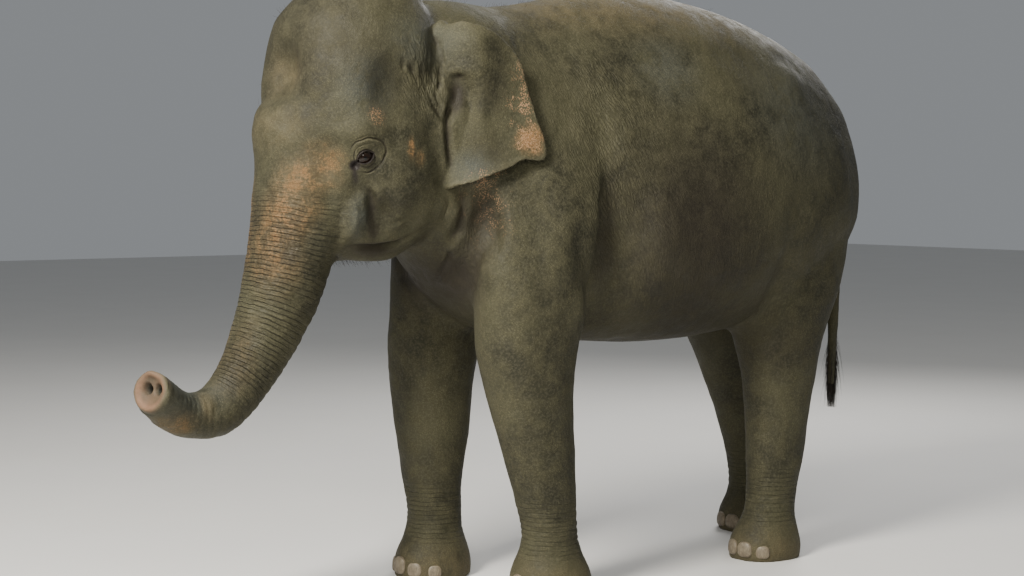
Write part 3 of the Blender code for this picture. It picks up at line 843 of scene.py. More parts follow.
def thin(thing, faces):
    """Brings a mesh down to this many triangles, where it is flattest first, and less on the head,
    the trunk, the ears and the feet."""
    p = Surface(thing).p
    hold = np.maximum(ramp(p[:, 1], -0.15, -0.42), 0.8 * ramp(p[:, 2], 0.3, 0.15))
    group = thing.vertex_groups.new(name="coarse")
    levels = np.round(1 + (1 - hold) * 9).astype(int)
    for level in range(1, 11):
        group.add(np.flatnonzero(levels == level).tolist(), level / 10, "REPLACE")
    triangles = len(thing.data.loops) - 2 * len(thing.data.polygons)
    modify(thing, "DECIMATE", ratio=faces / triangles, use_collapse_triangulate=True,
           vertex_group="coarse", vertex_group_factor=HOLD)
    thing.vertex_groups.clear()


# ---------------- eyes and trunk tip

# Each eye's place on the skin, and the directions out of it, along its opening and above it
EYE_SPOT = np.array((0.3, -0.75, 1.692))
EYE_OUT = unit((0.935, -0.33, -0.06))
EYE_ALONG = unit((0.0, 0.88, 0.47), EYE_OUT)
EYE_ABOVE = np.cross(EYE_OUT, EYE_ALONG)
BALL_RADIUS = 0.0325
BALL_DEPTH = 0.0245  # of the eyeball's centre under the skin's surface
LID = 0.0045  # thickness of the lids
BALL_CENTRE = EYE_SPOT - EYE_OUT * BALL_DEPTH
EYE_RING = 0.06
UPPER_LID, LOWER_LID = 0.0215, 0.018  # half heights of the opening
INNER_REACH, OUTER_REACH = 0.035, 0.032  # its half lengths


def within(point, zones):
    return any((point - Vector(place)).length < reach for place, reach in zones)


def refine(thing, zones):
    """Divides the triangles near these places, so that they can hold finer shapes."""
    work = bmesh.new()
    work.from_mesh(thing.data)
    edges = [e for e in work.edges if within((e.verts[0].co + e.verts[1].co) / 2, zones)]
    bmesh.ops.subdivide_edges(work, edges=edges, cuts=1, use_grid_fill=True)
    bmesh.ops.triangulate(work, faces=[f for f in work.faces if len(f.verts) > 3])
    work.to_mesh(thing.data)
    work.free()


def soften(thing, zones, rounds):
    """Smooths the mesh near these places only."""
    work = bmesh.new()
    work.from_mesh(thing.data)
    near = [v for v in work.verts if within(v.co, zones)]
    axes = {"use_axis_" + axis: True for axis in "xyz"}
    for _ in range(rounds):
        bmesh.ops.smooth_vert(work, verts=near, factor=0.5, **axes)
    work.to_mesh(thing.data)
    work.free()


def eye_sides():
    """For each side, the eye's place and the directions along its opening, above it and out."""
    for side in (1, -1):
        yield [vector * (side, 1, 1) for vector in (EYE_SPOT, EYE_ALONG, EYE_ABOVE, EYE_OUT)]


def opening(u, v):
    """How far outside the eye's opening a place is: negative inside it. u runs to the rear."""
    half = np.where(v < 0, LOWER_LID, UPPER_LID)
    x = np.abs(u) / np.where(u < 0, INNER_REACH, OUTER_REACH)
    return np.abs(v) - half * np.clip(1 - x ** 2.3, -1, 1)


def eye_ring(u, v):
    """Distance from the eye, along which the fold around it lies at EYE_RING."""
    return np.hypot(np.where(u > 0, u * 0.74, u), v - 0.006) + 0.0012 * np.sin(u * 130)


def eye_corner(u, v):
    """Distance from the pit at the eye's inner corner."""
    return np.hypot(u + 0.047, v + 0.008)


def shape_eyes(thing):
    surface = Surface(thing)
    p = surface.p
    for spot, along, above, out in eye_sides():
        near = np.linalg.norm(p - spot, axis=1) < 0.11
        d = p[near] - spot
        u, v, w = d @ along, d @ above, d @ out
        r = np.hypot(u, v)
        # lids wrapped over the eyeball
        shell = BALL_RADIUS + LID
        dome = np.sqrt(np.clip(shell ** 2 - r ** 2, 0, None)) - BALL_DEPTH
        blend = ramp(r, shell * 1.25, shell * 0.8)
        w = w + (np.where(r < shell, np.maximum(w, dome), w) - w) * blend
        gap = opening(u, v)
        # puffed lids inside a ring, and the creases over them
        ring = eye_ring(u, v)
        w = w + 0.009 * np.clip(1 - (ring / EYE_RING) ** 2, 0, 1) * ramp(u, -0.06, -0.02)
        near_rim = bell(gap, 0.006, 0.0016) * ramp(r, 0.05, 0.03)
        w = w - 0.003 * near_rim * (0.25 + 0.75 * ramp(v, -0.004, 0.008))
        wavy = 0.7 + 0.3 * np.sin(u * 70 + v * 90)
        for radius, width, depth, part in (
            (EYE_RING, 0.0024, 0.006, ramp(u, -0.045, -0.01) * wavy),
            (EYE_RING + 0.008, 0.0024, 0.003, ramp(u, -0.02, 0.02) * ramp(v, -0.01, 0.03)),
            (0.041, 0.0018, 0.0022, ramp(v, 0.0, 0.02)),
        ):
            w = w - depth * part * bell(ring, radius, width)
        # the inner corner, and the slit that leads to it
        w = w - 0.012 * bell(eye_corner(u, v), 0, 0.012)
        w = w - 0.006 * bell(v, -0.002, 0.0042) * ramp(u, -0.05, -0.044) * ramp(u, -0.024, -0.032)
        # the opening itself
        w = w + (-0.014 - w) * ramp(gap, 0.0008, -0.0016)
        p[near] = spot + u[:, None] * along + v[:, None] * above + w[:, None] * out
    surface.write()


def shape_tip(thing):
    """Nostrils, the rounded rim and the finger of the trunk's end."""
    surface = Surface(thing)
    p = surface.p
    near = np.linalg.norm(p - TIP, axis=1) < 0.14
    d = p[near] - TIP
    out, a, b = d @ TIP_OUT, d @ TIP_ACROSS, d @ TIP_UP
    r = np.hypot(a, b)
    flat = ramp(out, -0.022, -0.004)
    move = flat * (0.005 * hump(r, 0.07, 0.02) - 0.016 * np.clip(1 - (r / 0.064) ** 2, 0, 1) ** 1.2)
    move = move - flat * 0.014 * ramp(r, 0.076, 0.094)
    for side in (1, -1):
        x = (a - side * 0.025) / 0.0175
        y = (b - 0.01) / 0.023
        move = move - flat * 0.055 * np.clip(1 - (x * x + y * y), 0, 1) ** 0.6
    move = move + 0.012 * bell(a, 0, 0.026) * bell(b, 0.074, 0.022) * ramp(out, -0.05, 0.0)
    # the end is wider than high
    squash = -0.12 * (b + 0.01) * ramp(out, -0.11, -0.02)
    p[near] += move[:, None] * TIP_OUT + squash[:, None] * TIP_UP
    surface.write()


# ---------------- markings

# Places painted dark as shade: place, reach, amount
SHADOWS = strokes("""
0.16 -0.8 2.12  0.34 0.3 0.28  0.52  # crown
0.16 -0.92 1.86  0.28 0.22 0.24  0.24  # brow
0.3 -0.7 1.93  0.2 0.16 0.2  0.3  # temple
0.4 -0.29 1.715  0.12 0.15 0.12  0.34  # lower ear
0.37 -0.25 1.93  0.12 0.1 0.12  0.22
0.256 -0.692 1.485  0.1 0.03 0.095  1  # furrow behind the trunk's root
0.24 -0.672 1.42  0.1 0.036 0.06  1
0.19 -0.66 1.352  0.12 0.14 0.046  1.2  # mouth
0.325 -0.376 1.918  0.09 0.038 0.08  1.1  # under the ear's lobe
0.32 -0.408 1.77  0.08 0.014 0.13  0.7  # before the ear
0.32 -0.255 1.46  0.18 0.13 0.21  0.85  # behind the jaw
0.49 0.225 1.34  0.18 0.08 0.4  0.8  # behind the elbow
0.55 0.6 1.4  0.4 0.52 0.62  0.9  # flank
0.21 -0.265 1.27  0.2 0.11 0.19  0.6  # chest
0.3 0.75 0.94  0.5 0.9 0.26  0.5  # belly
0.45 1 1.15  0.2 0.12 0.26  0.25  # before the thigh
0 1.7 1.45  0.3 0.18 0.45  0.3  # under the tail
0.06 -0.29 1.21  0.32 0.26 0.27  0.95  # throat
""")

# Skin without pigment on both sides
PINK = strokes("""
0.2 -0.88 1.66  0.16 0.12 0.13  0.8  # brow
0.15 -0.96 1.55  0.14 0.14 0.2  0.9  # root of the trunk
0.1 -1.02 1.38  0.18 0.16 0.26  0.8
0.1 -1.2 1.05  0.18 0.16 0.26  0.5
0.335 -0.545 1.69  0.1 0.035 0.045  0.9  # cheek
0.327 -0.719 1.845  0.1 0.06 0.055  0.21  # over the eye
0.425 -0.118 1.76  0.08 0.07 0.08  3  # rear corner of the ear
""")
PINK_TIP = ((0.11, -1.42, 0.76), (0.16, 0.13, 0.07))
STRIPE = ((0.335, -0.58, 1.725), (0.1, 0.018, 0.06))  # on the left cheek only
SPECKLED = strokes("""
0.405 -0.15 1.89  0.1 0.075 0.26  1  # rear rim of the ear
0.37 -0.28 1.62  0.1 0.16 0.045  0.7  # lower rim
0.327 -0.719 1.845  0.1 0.06 0.055  0.7  # over the eye
0.425 -0.118 1.76  0.08 0.07 0.08  1.5
0.33 -0.25 1.5  0.16 0.15 0.22  0.6  # neck under the ear
""")
# Painted sheen of blue-grey sky, on both sides
SKY_SHEEN = strokes("""
0.32 -0.75 1.95  0.2 0.16 0.17  1  # temple
0.23 -0.74 1.48  0.12 0.06 0.13  1  # furrow behind the trunk's root
0.36 -0.33 1.66  0.12 0.12 0.1  1  # lower ear
0.3 -0.52 2.12  0.25 0.22 0.14  0.8
0.5 1.2 1.9  0.3 0.4 0.4  0.7  # hip
0.42 0.55 2.05  0.25 0.22 0.22  0.6
""")
SKY_SHEEN_TIP = ((0.1, -1.38, 0.9), (0.16, 0.28, 0.17))
DUST = strokes("""
0.04 -0.91 1.99  0.13 0.2 0.12  0.9  # forehead
0.06 -0.98 1.8  0.25 0.14 0.12  0.6
""")
DUST_TIP = ((0.1, -1.28, 0.83), (0.1, 0.045, 0.1))
TEAR = ((0.276, -0.786, 1.66), (0.272, -0.78, 1.64), (0.266, -0.77, 1.605))


def store(mesh, name, *values):
    """Four numbers for each point, which the material reads by this name."""
    layer = mesh.color_attributes.new(name, "FLOAT_COLOR", "POINT")
    values = np.clip(np.stack(values, 1), 0, 4)
    layer.data.foreach_set("color", values.astype(np.float32).ravel())


def marks(p):
    """Where the skin is without pigment, where a sheen of blue-grey sky is painted on it, where it is
    dusty (on the top of the back this is also painted light from above), and where it is speckled, each
    from 0 to 1.
    """
    q = mirrored(p)
    y, z = p[:, 1], p[:, 2]
    pink = blobs(q, PINK) + 0.7 * blob(p, *PINK_TIP) + 1.8 * blob(q, *STRIPE) * (p[:, 0] > 0)
    # painted sheen of blue-grey sky
    sky_sheen = blobs(q, SKY_SHEEN) + 1.3 * blob(p, *SKY_SHEEN_TIP)
    # dust on the feet, and on the top of the back, where it is also painted light from above
    dust_and_top_light = ramp(z, 2.12, 2.34) * ramp(y, -0.2, 0.2) + 0.7 * ramp(z, 0.2, 0.02)
    dust_and_top_light += blobs(q, DUST) + 1.2 * blob(p, *DUST_TIP)
    others = (np.clip(mark, 0, 1) for mark in (sky_sheen, dust_and_top_light, blobs(q, SPECKLED)))
    return np.clip(pink, 0, 1.5), *others


def curvature(mesh, surface):
    """How much each point lies in a hollow, and how much on a crest, from 0 to 1."""
    ends = np.empty(len(mesh.edges) * 2, np.int32)
    mesh.edges.foreach_get("vertices", ends)
    a, b = ends.reshape(-1, 2).T
    value, count = np.zeros((2, len(surface.p)))
    step = surface.p[b] - surface.p[a]
    length = (step ** 2).sum(1) + 1e-9
    for end, sign in ((a, 1), (b, -1)):
        np.add.at(value, end, sign * (step * surface.n[end]).sum(1) / length)
        np.add.at(count, end, 1)
    value /= np.maximum(count, 1)
    for _ in range(3):
        total = value.copy()
        np.add.at(total, a, value[b])
        np.add.at(total, b, value[a])
        value = total / (1 + count)
    return 0.75 * ramp(value, 3.0, 22.0), ramp(value, -4.0, -24.0)


# ---------------- materials


class Number:
    """What a node gives out; sums and products with others make more nodes."""

    def __init__(self, paint, socket):
        self.paint = paint
        self.socket = socket

    def __add__(self, other):
        return self.paint.math("ADD", self, other)

    def __mul__(self, other):
        return self.paint.math("MULTIPLY", self, other)

    def __rsub__(self, other):
        return self.paint.math("SUBTRACT", other, self)


class Paint:
    """A material's node tree, built with short calls."""

    def __init__(self, name):
        self.material = bpy.data.materials.new(name)
        self.material.use_nodes = True
        self.tree = self.material.node_tree
        self.shader = self.tree.nodes["Principled BSDF"]
        self.place = self.add("TexCoord")[3]  # the object's own coordinates

    def add(self, kind, *values, inputs=(), **settings):
        """A node's outputs; its inputs are set in their order, or by name or number."""
        node = self.tree.nodes.new("ShaderNode" + kind)
        for key, value in settings.items():
            setattr(node, key, value)
        self.set(node, {**dict(enumerate(values)), **dict(inputs)})
        return [Number(self, socket) for socket in node.outputs]

    def set(self, node, inputs):
        for key, value in inputs.items():
            if isinstance(value, Number):
                self.tree.links.new(value.socket, node.inputs[key])
            else:
                node.inputs[key].default_value = value

    def math(self, operation, *values):
        return self.add("Math", *values, operation=operation)[0]

    def vector(self, operation, *values):
        return self.add("VectorMath", *values, operation=operation)[0]

    def join(self, *values):
        return self.add("CombineXYZ", *values)[0]

    def split(self, colour):
        return self.add("SeparateColor", colour)

    def layer(self, name):
        """The four numbers that are stored on the mesh by this name."""
        colour, _, _, fourth = self.add("Attribute", attribute_name=name)
        return *self.split(colour), fourth

    def blend(self, share, first, second, kind="MIX"):
        """A mix of two colours."""
        first, second = (c if isinstance(c, Number) else (*c, 1) for c in (first, second))
        inputs = {0: share, 6: first, 7: second}
        return self.add("Mix", inputs=inputs, data_type="RGBA", blend_type=kind)[2]

    def noise(self, vector, scale, detail=2.0, rough=0.5, output=0):
        inputs = {"Vector": vector, "Scale": scale, "Detail": detail, "Roughness": rough}
        return self.add("TexNoise", inputs=inputs)[output]

    def cells(self, vector, scale, detail=0.0):
        """Distance to the edges of irregular cells."""
        inputs = {"Vector": vector, "Scale": scale, "Detail": detail}
        return self.add("TexVoronoi", inputs=inputs, feature="DISTANCE_TO_EDGE")[0]

    def span(self, *values):
        """A value brought from one span to another, or to 0 and 1, and kept inside it."""
        return self.add("MapRange", *values, interpolation_type="SMOOTHSTEP")[0]

    def bump(self, height, strength, distance):
        inputs = {"Strength": strength, "Distance": distance, "Height": height}
        return self.add("Bump", inputs=inputs)[0]

    def coat(self, colour, rough, gloss=0.5, normal=None):
        """The material, with its shader's inputs set."""
        inputs = {"Base Color": colour, "Roughness": rough, "Specular IOR Level": gloss}
        if normal:
            inputs["Normal"] = normal
        self.set(self.shader, inputs)
        return self.material


def skin_material():
    m = Paint("skin")
    pink, sky_sheen, dust_and_top_light, speckle = m.layer("marks")
    # depth is painted shade in creases, hollows and shaded places; wet_and_shade is wet skin, and painted
    # shade inside the nostrils
    depth, ring_share, long_share, wet_and_shade = m.layer("shade_and_folds")
    run, slanted, pinch, crest = m.layer("lines")

    # wavering of every pattern, so that no line is straight
    warp = m.noise(m.place, 9.0, 3.0, 0.6, output=1)
    centred = m.vector("ADD", warp, (-0.5, -0.5, -0.5))
    bent = m.vector("ADD", m.place, m.vector("MULTIPLY", centred, (0.04, 0.04, 0.04)))
    x, y, z = m.add("SeparateXYZ", bent)
    swing = m.split(centred)[0]
    broad = m.noise(m.place, 3.0, 4.0, 0.6)
    middling = m.noise(m.place, 15.0, 5.0, 0.62)
    grainy = m.noise(m.place, 110.0, 3.0, 0.6)

    # netting, whose cracks come and go
    net = m.span(m.cells(m.vector("MULTIPLY", bent, (1.0, 1.0, 1.25)), 120.0, 1.0), 0.0, 0.22)
    patchy = m.span(middling, 0.32, 0.66, 0.3, 0.95)

    # long wrinkles: cells stretched along them, which turn into rings around trunk and wrists
    level = run + swing * 0.022
    long_cells = m.join((slanted + swing * 0.045) * 84.0, z * 21.0, x * 21.0)
    ring_cells = m.join(level * 105.0, x * 12.0, y * 12.0)
    inputs = {0: m.math("GREATER_THAN", ring_share, 0.02), 4: long_cells, 5: ring_cells}
    either = m.add("Mix", inputs=inputs, data_type="VECTOR")[1]
    strands = m.span(m.cells(either, 1.0), 0.0, 0.3)
    directed = m.math("MAXIMUM", ring_share * 0.55, long_share)
    loose = 1.0 - directed * 0.6
    turns = m.math("ABSOLUTE", m.math("SINE", level * (math.pi / 0.0185)))
    ring_lines = m.span(turns, 0.0, m.span(middling, 0.3, 0.7, 0.3, 0.6))
    ring_part = ring_share * m.span(m.noise(bent, 16.0), 0.3, 0.56, 0.25, 1.0)

    mixed = middling * 0.6 + grainy * 0.4
    flush = m.span(mixed + pink * 0.1, 0.585, 0.635)
    spots = m.span(m.noise(m.place, 170.0) + speckle * 0.12, 0.59, 0.66)
    clumps = m.span(middling + speckle * 0.14, 0.5, 0.64)
    colour = m.blend(m.span(broad, 0.36, 0.66), (0.018, 0.0172, 0.009), (0.044, 0.0415, 0.0215))
    for share, tint in (
        (m.span(middling, 0.38, 0.68, 0.0, 0.6), (0.069, 0.0635, 0.034)),
        # painted sheen of blue-grey sky
        (sky_sheen * m.span(middling, 0.3, 0.62, 0.15, 0.65), (0.054, 0.062, 0.058)),
        # dust, and painted light on the top of the back
        (dust_and_top_light * m.span(middling, 0.3, 0.72, 0.2, 0.7), (0.135, 0.106, 0.055)),
        (m.math("MINIMUM", pink, 1.0) * m.span(mixed, 0.42, 0.58, 0.25, 0.8), (0.138, 0.081, 0.033)),
        (flush * m.math("MINIMUM", pink * 0.55, 0.8), (0.2, 0.104, 0.04)),
        (spots * clumps * m.math("MINIMUM", speckle * 2.0, 0.85), (0.27, 0.16, 0.085)),
        (m.span(grainy, 0.42, 0.66, 0.0, 0.25), (0.105, 0.096, 0.058)),
        # painted highlight on crests
        (crest * 0.4, (0.105, 0.095, 0.056)),
    ):
        colour = m.blend(share, colour, tint)

    # painted shade: cracks and grooves are darker
    cracks = 1.0 - loose * patchy * m.span(net, 0.0, 1.0, 0.38, 0.0)
    cracks = cracks * (1.0 - directed * m.span(strands, 0.0, 1.0, 0.44, 0.0))
    cracks = cracks * (1.0 - ring_part * m.span(ring_lines, 0.0, 1.0, 0.62, 0.0))
    colour = m.blend(1.0, colour, cracks, "MULTIPLY")
    # painted shade in creases, hollows and shaded places
    colour = m.blend(depth * 0.8, colour, (0.012, 0.009, 0.006))
    colour = m.blend(pinch, colour, (0.14, 0.082, 0.05))
    # darker where wet, and painted shade inside the nostrils
    colour = m.blend(wet_and_shade, colour, (0.012, 0.009, 0.008))

    # relief, in metres
    height = net * loose * 0.0005 + grainy * 0.0006 + ring_lines * ring_part * 0.0036
    height = height + strands * directed * 0.0022 + middling * 0.007
    rough = m.span(middling, 0.3, 0.7, 0.6, 0.8) + wet_and_shade * -0.1
    return m.coat(colour, rough, 0.25, m.bump(height, 1.0, 1.0))


def eye_material():
    m = Paint("eye")
    facing, around, _, _ = m.layer("gaze")
    streaks = m.noise(m.join(around * 40.0, facing * 3.0), 1.6, 3.0)
    iris = m.blend(m.span(streaks, 0.3, 0.7), (0.004, 0.002, 0.0015), (0.013, 0.0065, 0.0035))
    white = m.blend(m.noise(m.place, 300.0), (0.012, 0.008, 0.007), (0.007, 0.005, 0.004))
    colour = m.blend(m.span(facing, 0.8, 0.83), white, iris)
    colour = m.blend(m.span(facing, 0.974, 0.984), colour, (0.002, 0.002, 0.002))
    return m.coat(colour, 0.06, 0.32)


def nail_material():
    m = Paint("nail")
    x, y, z = m.add("SeparateXYZ", m.place)
    lines = m.noise(m.join(x, y, z * 0.18), 260.0, 3.0)
    bands = m.noise(m.join(0, 0, z), 120.0)
    stains = m.noise(m.place, 45.0, 4.0, 0.7)
    colour = m.blend(m.span(lines, 0.3, 0.7), (0.1, 0.08, 0.052), (0.175, 0.145, 0.098))
    colour = m.blend(m.span(stains, 0.42, 0.7, 0.0, 0.7), colour, (0.075, 0.058, 0.04))
    normal = m.bump(lines * 0.5 + bands * 0.7, 0.6, 0.0014)
    return m.coat(colour, m.span(stains, 0.3, 0.7, 0.42, 0.66), normal=normal)


def hair_material():
    m = Paint("hair")
    tone = m.span(m.noise(m.place, 60.0), 0.35, 0.65)
    return m.coat(m.blend(tone, (0.012, 0.01, 0.008), (0.034, 0.026, 0.019)), 0.62, 0.25)


def floor_material():
    m = Paint("floor")
    tone = m.noise(m.place, 1.2, 3.0)
    return m.coat(m.blend(tone, (0.6, 0.59, 0.57), (0.64, 0.63, 0.61)), 0.85)


# ---------------- pieces


def middle(node):
    low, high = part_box(node)
    return (Vector(low) + Vector(high)) / 2


SHIFT = (middle("eye_left") + middle("eye_right")) / 2 - Vector((0, EYE[1], EYE[2]))


def complete(thing, material):
    """Carries a piece from the tables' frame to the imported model's, and paints it."""
    mesh = thing.data
    mesh.transform(Matrix.Translation(SHIFT))
    mesh.update()
    mesh.polygons.foreach_set("use_smooth", [True] * len(mesh.polygons))
    mesh.materials.clear()
    mesh.materials.append(material)
    return thing


def eye_zones(reach):
    return [(place, reach) for place, *_ in eye_sides()]


def make_skin():
    skin = skin_form()
    thin(skin, SKIN_FACES)
    refine(skin, eye_zones(0.1))
    refine(skin, eye_zones(0.08) + [(TIP, 0.085)])
    refine(skin, eye_zones(0.046))
    corners = [((side * 0.315, -0.41, 2.145), 0.045) for side in (1, -1)]
    soften(skin, eye_zones(0.085) + [(TIP, 0.08)] + corners, 6)
    shape_eyes(skin)
    shape_tip(skin)
    soften(skin, eye_zones(0.075) + [(TIP, 0.08)], 1)

    surface = Surface(skin)
    p = surface.p
    q = mirrored(p)
    run, _, _, rings, wrists, along = fold_masks(p)
    hollow, crest = curvature(skin.data, surface)
    # painted shade: darker in creases, in hollows and at the places in SHADOWS
    painted_shade = np.zeros(len(p))  # depth of creases, for the shading
    for line, width, depth in CREASES:
        painted_shade += np.clip(-crease(q, line, width * 0.8, 1.0, 0.0), 0, 1) * min(1.0, depth / 0.016)
    painted_shade = 0.8 * painted_shade + hollow + blobs(q, SHADOWS)
    # damp edges of the lids, the inner corner and the slit before it, and the track of tears
    wet_and_shade = 0.9 * bell(line_distance(q, TEAR, 0.04)[0], 0, 0.01)
    for spot, eye_along, above, _ in eye_sides():
        near = np.linalg.norm(p - spot, axis=1) < 0.1
        d = p[near] - spot
        u, v = d @ eye_along, d @ above
        lids = ramp(opening(u, v), 0.009 + 0.005 * (v > 0), 0.002) * ramp(np.abs(u), 0.05, 0.034)
        slit = bell(v, 0, 0.0035) * ramp(u, -0.048, -0.042) * ramp(u, -0.022, -0.03)
        damp = np.maximum.reduce((lids, slit, ramp(eye_corner(u, v), 0.027, 0.014)))
        wet_and_shade[near] = np.maximum(wet_and_shade[near], damp)
        # painted shade along the fold around the eye
        line = bell(eye_ring(u, v), EYE_RING, 0.0022) * ramp(u, -0.045, -0.01)
        painted_shade[near] = np.maximum(painted_shade[near], 0.75 * line)
    # pale disc at the trunk's end, and painted shade, with wetness, inside its nostrils
    d = p - TIP
    out = d @ TIP_OUT
    r = np.hypot(d @ TIP_ACROSS, d @ TIP_UP)
    at_end = (np.linalg.norm(d, axis=1) < 0.12) & (out > -0.09)
    pinch = at_end * ramp(r, 0.082, 0.06) * ramp(out, -0.036, -0.014)
    pinch = pinch * (0.5 + 0.45 * ramp(r, 0.042, 0.056) + 0.25 * noise(p, 0.03, 31))
    # painted shade inside the nostrils, which are wet too
    wet_and_shade = np.maximum(wet_and_shade, at_end * ramp(out, -0.028, -0.045) * ramp(r, 0.05, 0.045) * 0.8)

    level = np.where(p[:, 1] < TRUNK_ROOT, run, p[:, 2])
    store(skin.data, "marks", *marks(p))
    store(skin.data, "shade_and_folds", np.clip(painted_shade, 0, 1), np.clip(rings + wrists, 0, 1), along, wet_and_shade)
    store(skin.data, "lines", level + 0.5, slant(p) + 1.5, pinch, crest)
    return complete(skin, skin_material())


def make_eye(side, material):
    # the eye looks out, a little forward and down
    gaze = Vector(EYE_OUT * (side, 1, 1)) + Vector((0, -0.1, -0.06))
    rotation = Vector((0, 0, 1)).rotation_difference(gaze.normalized()).to_matrix()
    centre = Vector(BALL_CENTRE * (side, 1, 1))
    facing = []
    around = []

    def place(x, y, z):
        facing.append(max(z, 0))
        around.append(abs(math.atan2(y, x)) / math.pi)
        bulge = 1 + 0.05 * max(z, 0) ** 12
        return rotation @ (Vector((x, y, z)) * BALL_RADIUS * bulge) + centre

    thing = sphere("eyeball_left" if side > 0 else "eyeball_right", 64, 40, place)
    store(thing.data, "gaze", facing, around, np.zeros(len(facing)), np.ones(len(facing)))
    return complete(thing, material)


def make_nails(material):
    """Toenails, each a curved plate that stands a little out of the foot."""
    things = []
    for foot_name, (count, step) in NAILS.items():
        stations, foot, _ = STANCE[foot_name]
        half, long = stations[FOOT_ROW][3:]
        for number in range(count):
            turn = math.radians((number - (count - 1) / 2) * step)
            small = 1 - NAIL_TAPER * abs(math.sin(turn))
            wide, deep, tall = (size * small for size in NAIL)

            def place(x, y, z):
                across = power(x, 0.75) * (wide * (1 - 0.14 * max(z, 0)))
                return across, power(y, 0.75) * deep * (1 - 0.25 * z), power(z, 0.7) * tall

            ending = foot_name + "_" + str(number + 1)
            thing = sphere("toenail_" + ending, 32, 20, place)
            x = foot[0] + math.sin(turn) * half * NAIL_OUT
            y = foot[1] - math.cos(turn) * long * NAIL_OUT
            centre = Matrix.Translation((x, y, NAIL_HEIGHT * small))
            thing.data.transform(centre @ Matrix.Rotation(turn, 4, "Z"))
            things.append((complete(thing, material), "nail_" + ending))
    return things


# ---------------- hairs


PATCH = 0.003  # side of a strand's patch on the unwrap


class Hairs:
    """Tapered three-sided strands gathered into one mesh, each with a small patch of its own on
    an unwrap of the body: around it and along it."""

    def __init__(self):
        self.points = []
        self.faces = []
        self.flat = []

    def face(self, corners, u, v, k, t, step):
        """A face, and its corners on the strand's patch."""
        self.faces.append(corners)
        patch = ((k, t), (k + 1 / 3, t), (k + 1 / 3, t + step), (k, t + step))
        for x, y in patch[: len(corners)]:
            self.flat += [u + (x - 0.5) * PATCH, v + (y - 0.5) * PATCH]

    def add(self, root, way, sag, steps, width, sunk=Vector()):
        """A strand that sets out from its root along a way and sags from it."""
        path = [root + way * s + sag * s * s for s in (i / steps for i in range(steps + 1))]
        path[0] = root - sunk
        u = 0.5 + math.atan2(path[0].x, path[0].z - 1.5) / (2 * math.pi) * 0.96
        v = 0.5 + (path[0].y - 0.2) / 4.0
        first = len(self.points)
        for i, point in enumerate(path):
            along = (path[min(i + 1, steps)] - path[max(i - 1, 0)]).normalized()
            side = along.cross(Vector((0.31, 0.52, 0.79))).normalized()
            size = width / 2 * (1 - 0.85 * i / steps)
            side, other = side * size, along.cross(side) * size
            for angle in round_angles(3):
                self.points.append(point + side * math.cos(angle) + other * math.sin(angle))
        for i in range(steps):
            for k in range(3):
                a = first + 3 * i + k
                b = first + 3 * i + (k + 1) % 3
                self.face((a, b, b + 3, a + 3), u, v, k / 3, i / steps, 1 / steps)
        end = first + 3 * steps
        self.face((end, end + 1, end + 2), u, v, 0, 1, 0)

    def gather(self, name, material):
        thing = mesh_object(name, self.points, self.faces)
        thing.data.uv_layers.new(name="OFBake").data.foreach_set("uv", self.flat)
        return complete(thing, material)


TUFT_END = 0.575  # height down to which the tail's hairs hang


def make_tuft(material):
    """Stiff hairs in a row before and a row behind the tail's end."""
    dice = np.random.default_rng(11)
    hairs = Hairs()
    low = [Vector(row[:3]) for row in curve_through(TAIL, 12)]
    low = [point for point in low if point.z < 0.93]
    for _ in range(620):
        t = dice.random() ** 0.8
        place = low[int(t * (len(low) - 1))]
        front = 1 if dice.random() < 0.5 else -1
        start = place + Vector((dice.normal(0, 0.006), front * 0.01, dice.normal(0, 0.008)))
        length = 0.1 + 0.1 * dice.random()
        lean = Vector((dice.normal(0, 0.1), front * (0.3 - 0.22 * t + dice.normal(0, 0.06)), -1))
        way = lean.normalized() * length
        sag = Vector((0, -front * 0.18, -0.1)) * length
        end = start.z + way.z + sag.z
        if end < TUFT_END:
            shrink = (start.z - TUFT_END) / (start.z - end)
            way, sag = way * shrink, sag * shrink
        hairs.add(start, way, sag, 4, 0.0016)
    return hairs.gather("tail_hair", material)


def make_lashes(material):
    """Long lashes on the upper lids and short ones under the eyes."""
    dice = np.random.default_rng(12)
    hairs = Hairs()
    for vectors in eye_sides():
        spot, along, above, out = map(Vector, vectors)
        for sign, lid, rise, count, reach in (
            (1, UPPER_LID, 0.1, 30, 0.026),
            (-1, LOWER_LID, -0.55, 16, 0.01),
        ):
            for k in range(count):
                u = -0.026 + 0.05 * (k + dice.random()) / count
                x = abs(u) / (INNER_REACH if u < 0 else OUTER_REACH)
                v = sign * (lid * (1 - x ** 2.3) + 0.0012)
                shell = (BALL_RADIUS + 0.004) ** 2
                w = math.sqrt(max(shell - u * u - v * v, 0)) - BALL_DEPTH - 0.001
                length = reach * (0.75 + 0.5 * dice.random())
                lean = out * 0.9 + above * rise + along * (u * 9 - 0.12)
                root = spot + along * u + above * v + out * w
                hairs.add(root, lean.normalized() * length, above * (-0.45 * length), 4, 0.0009)
    return hairs.gather("eyelashes", material)


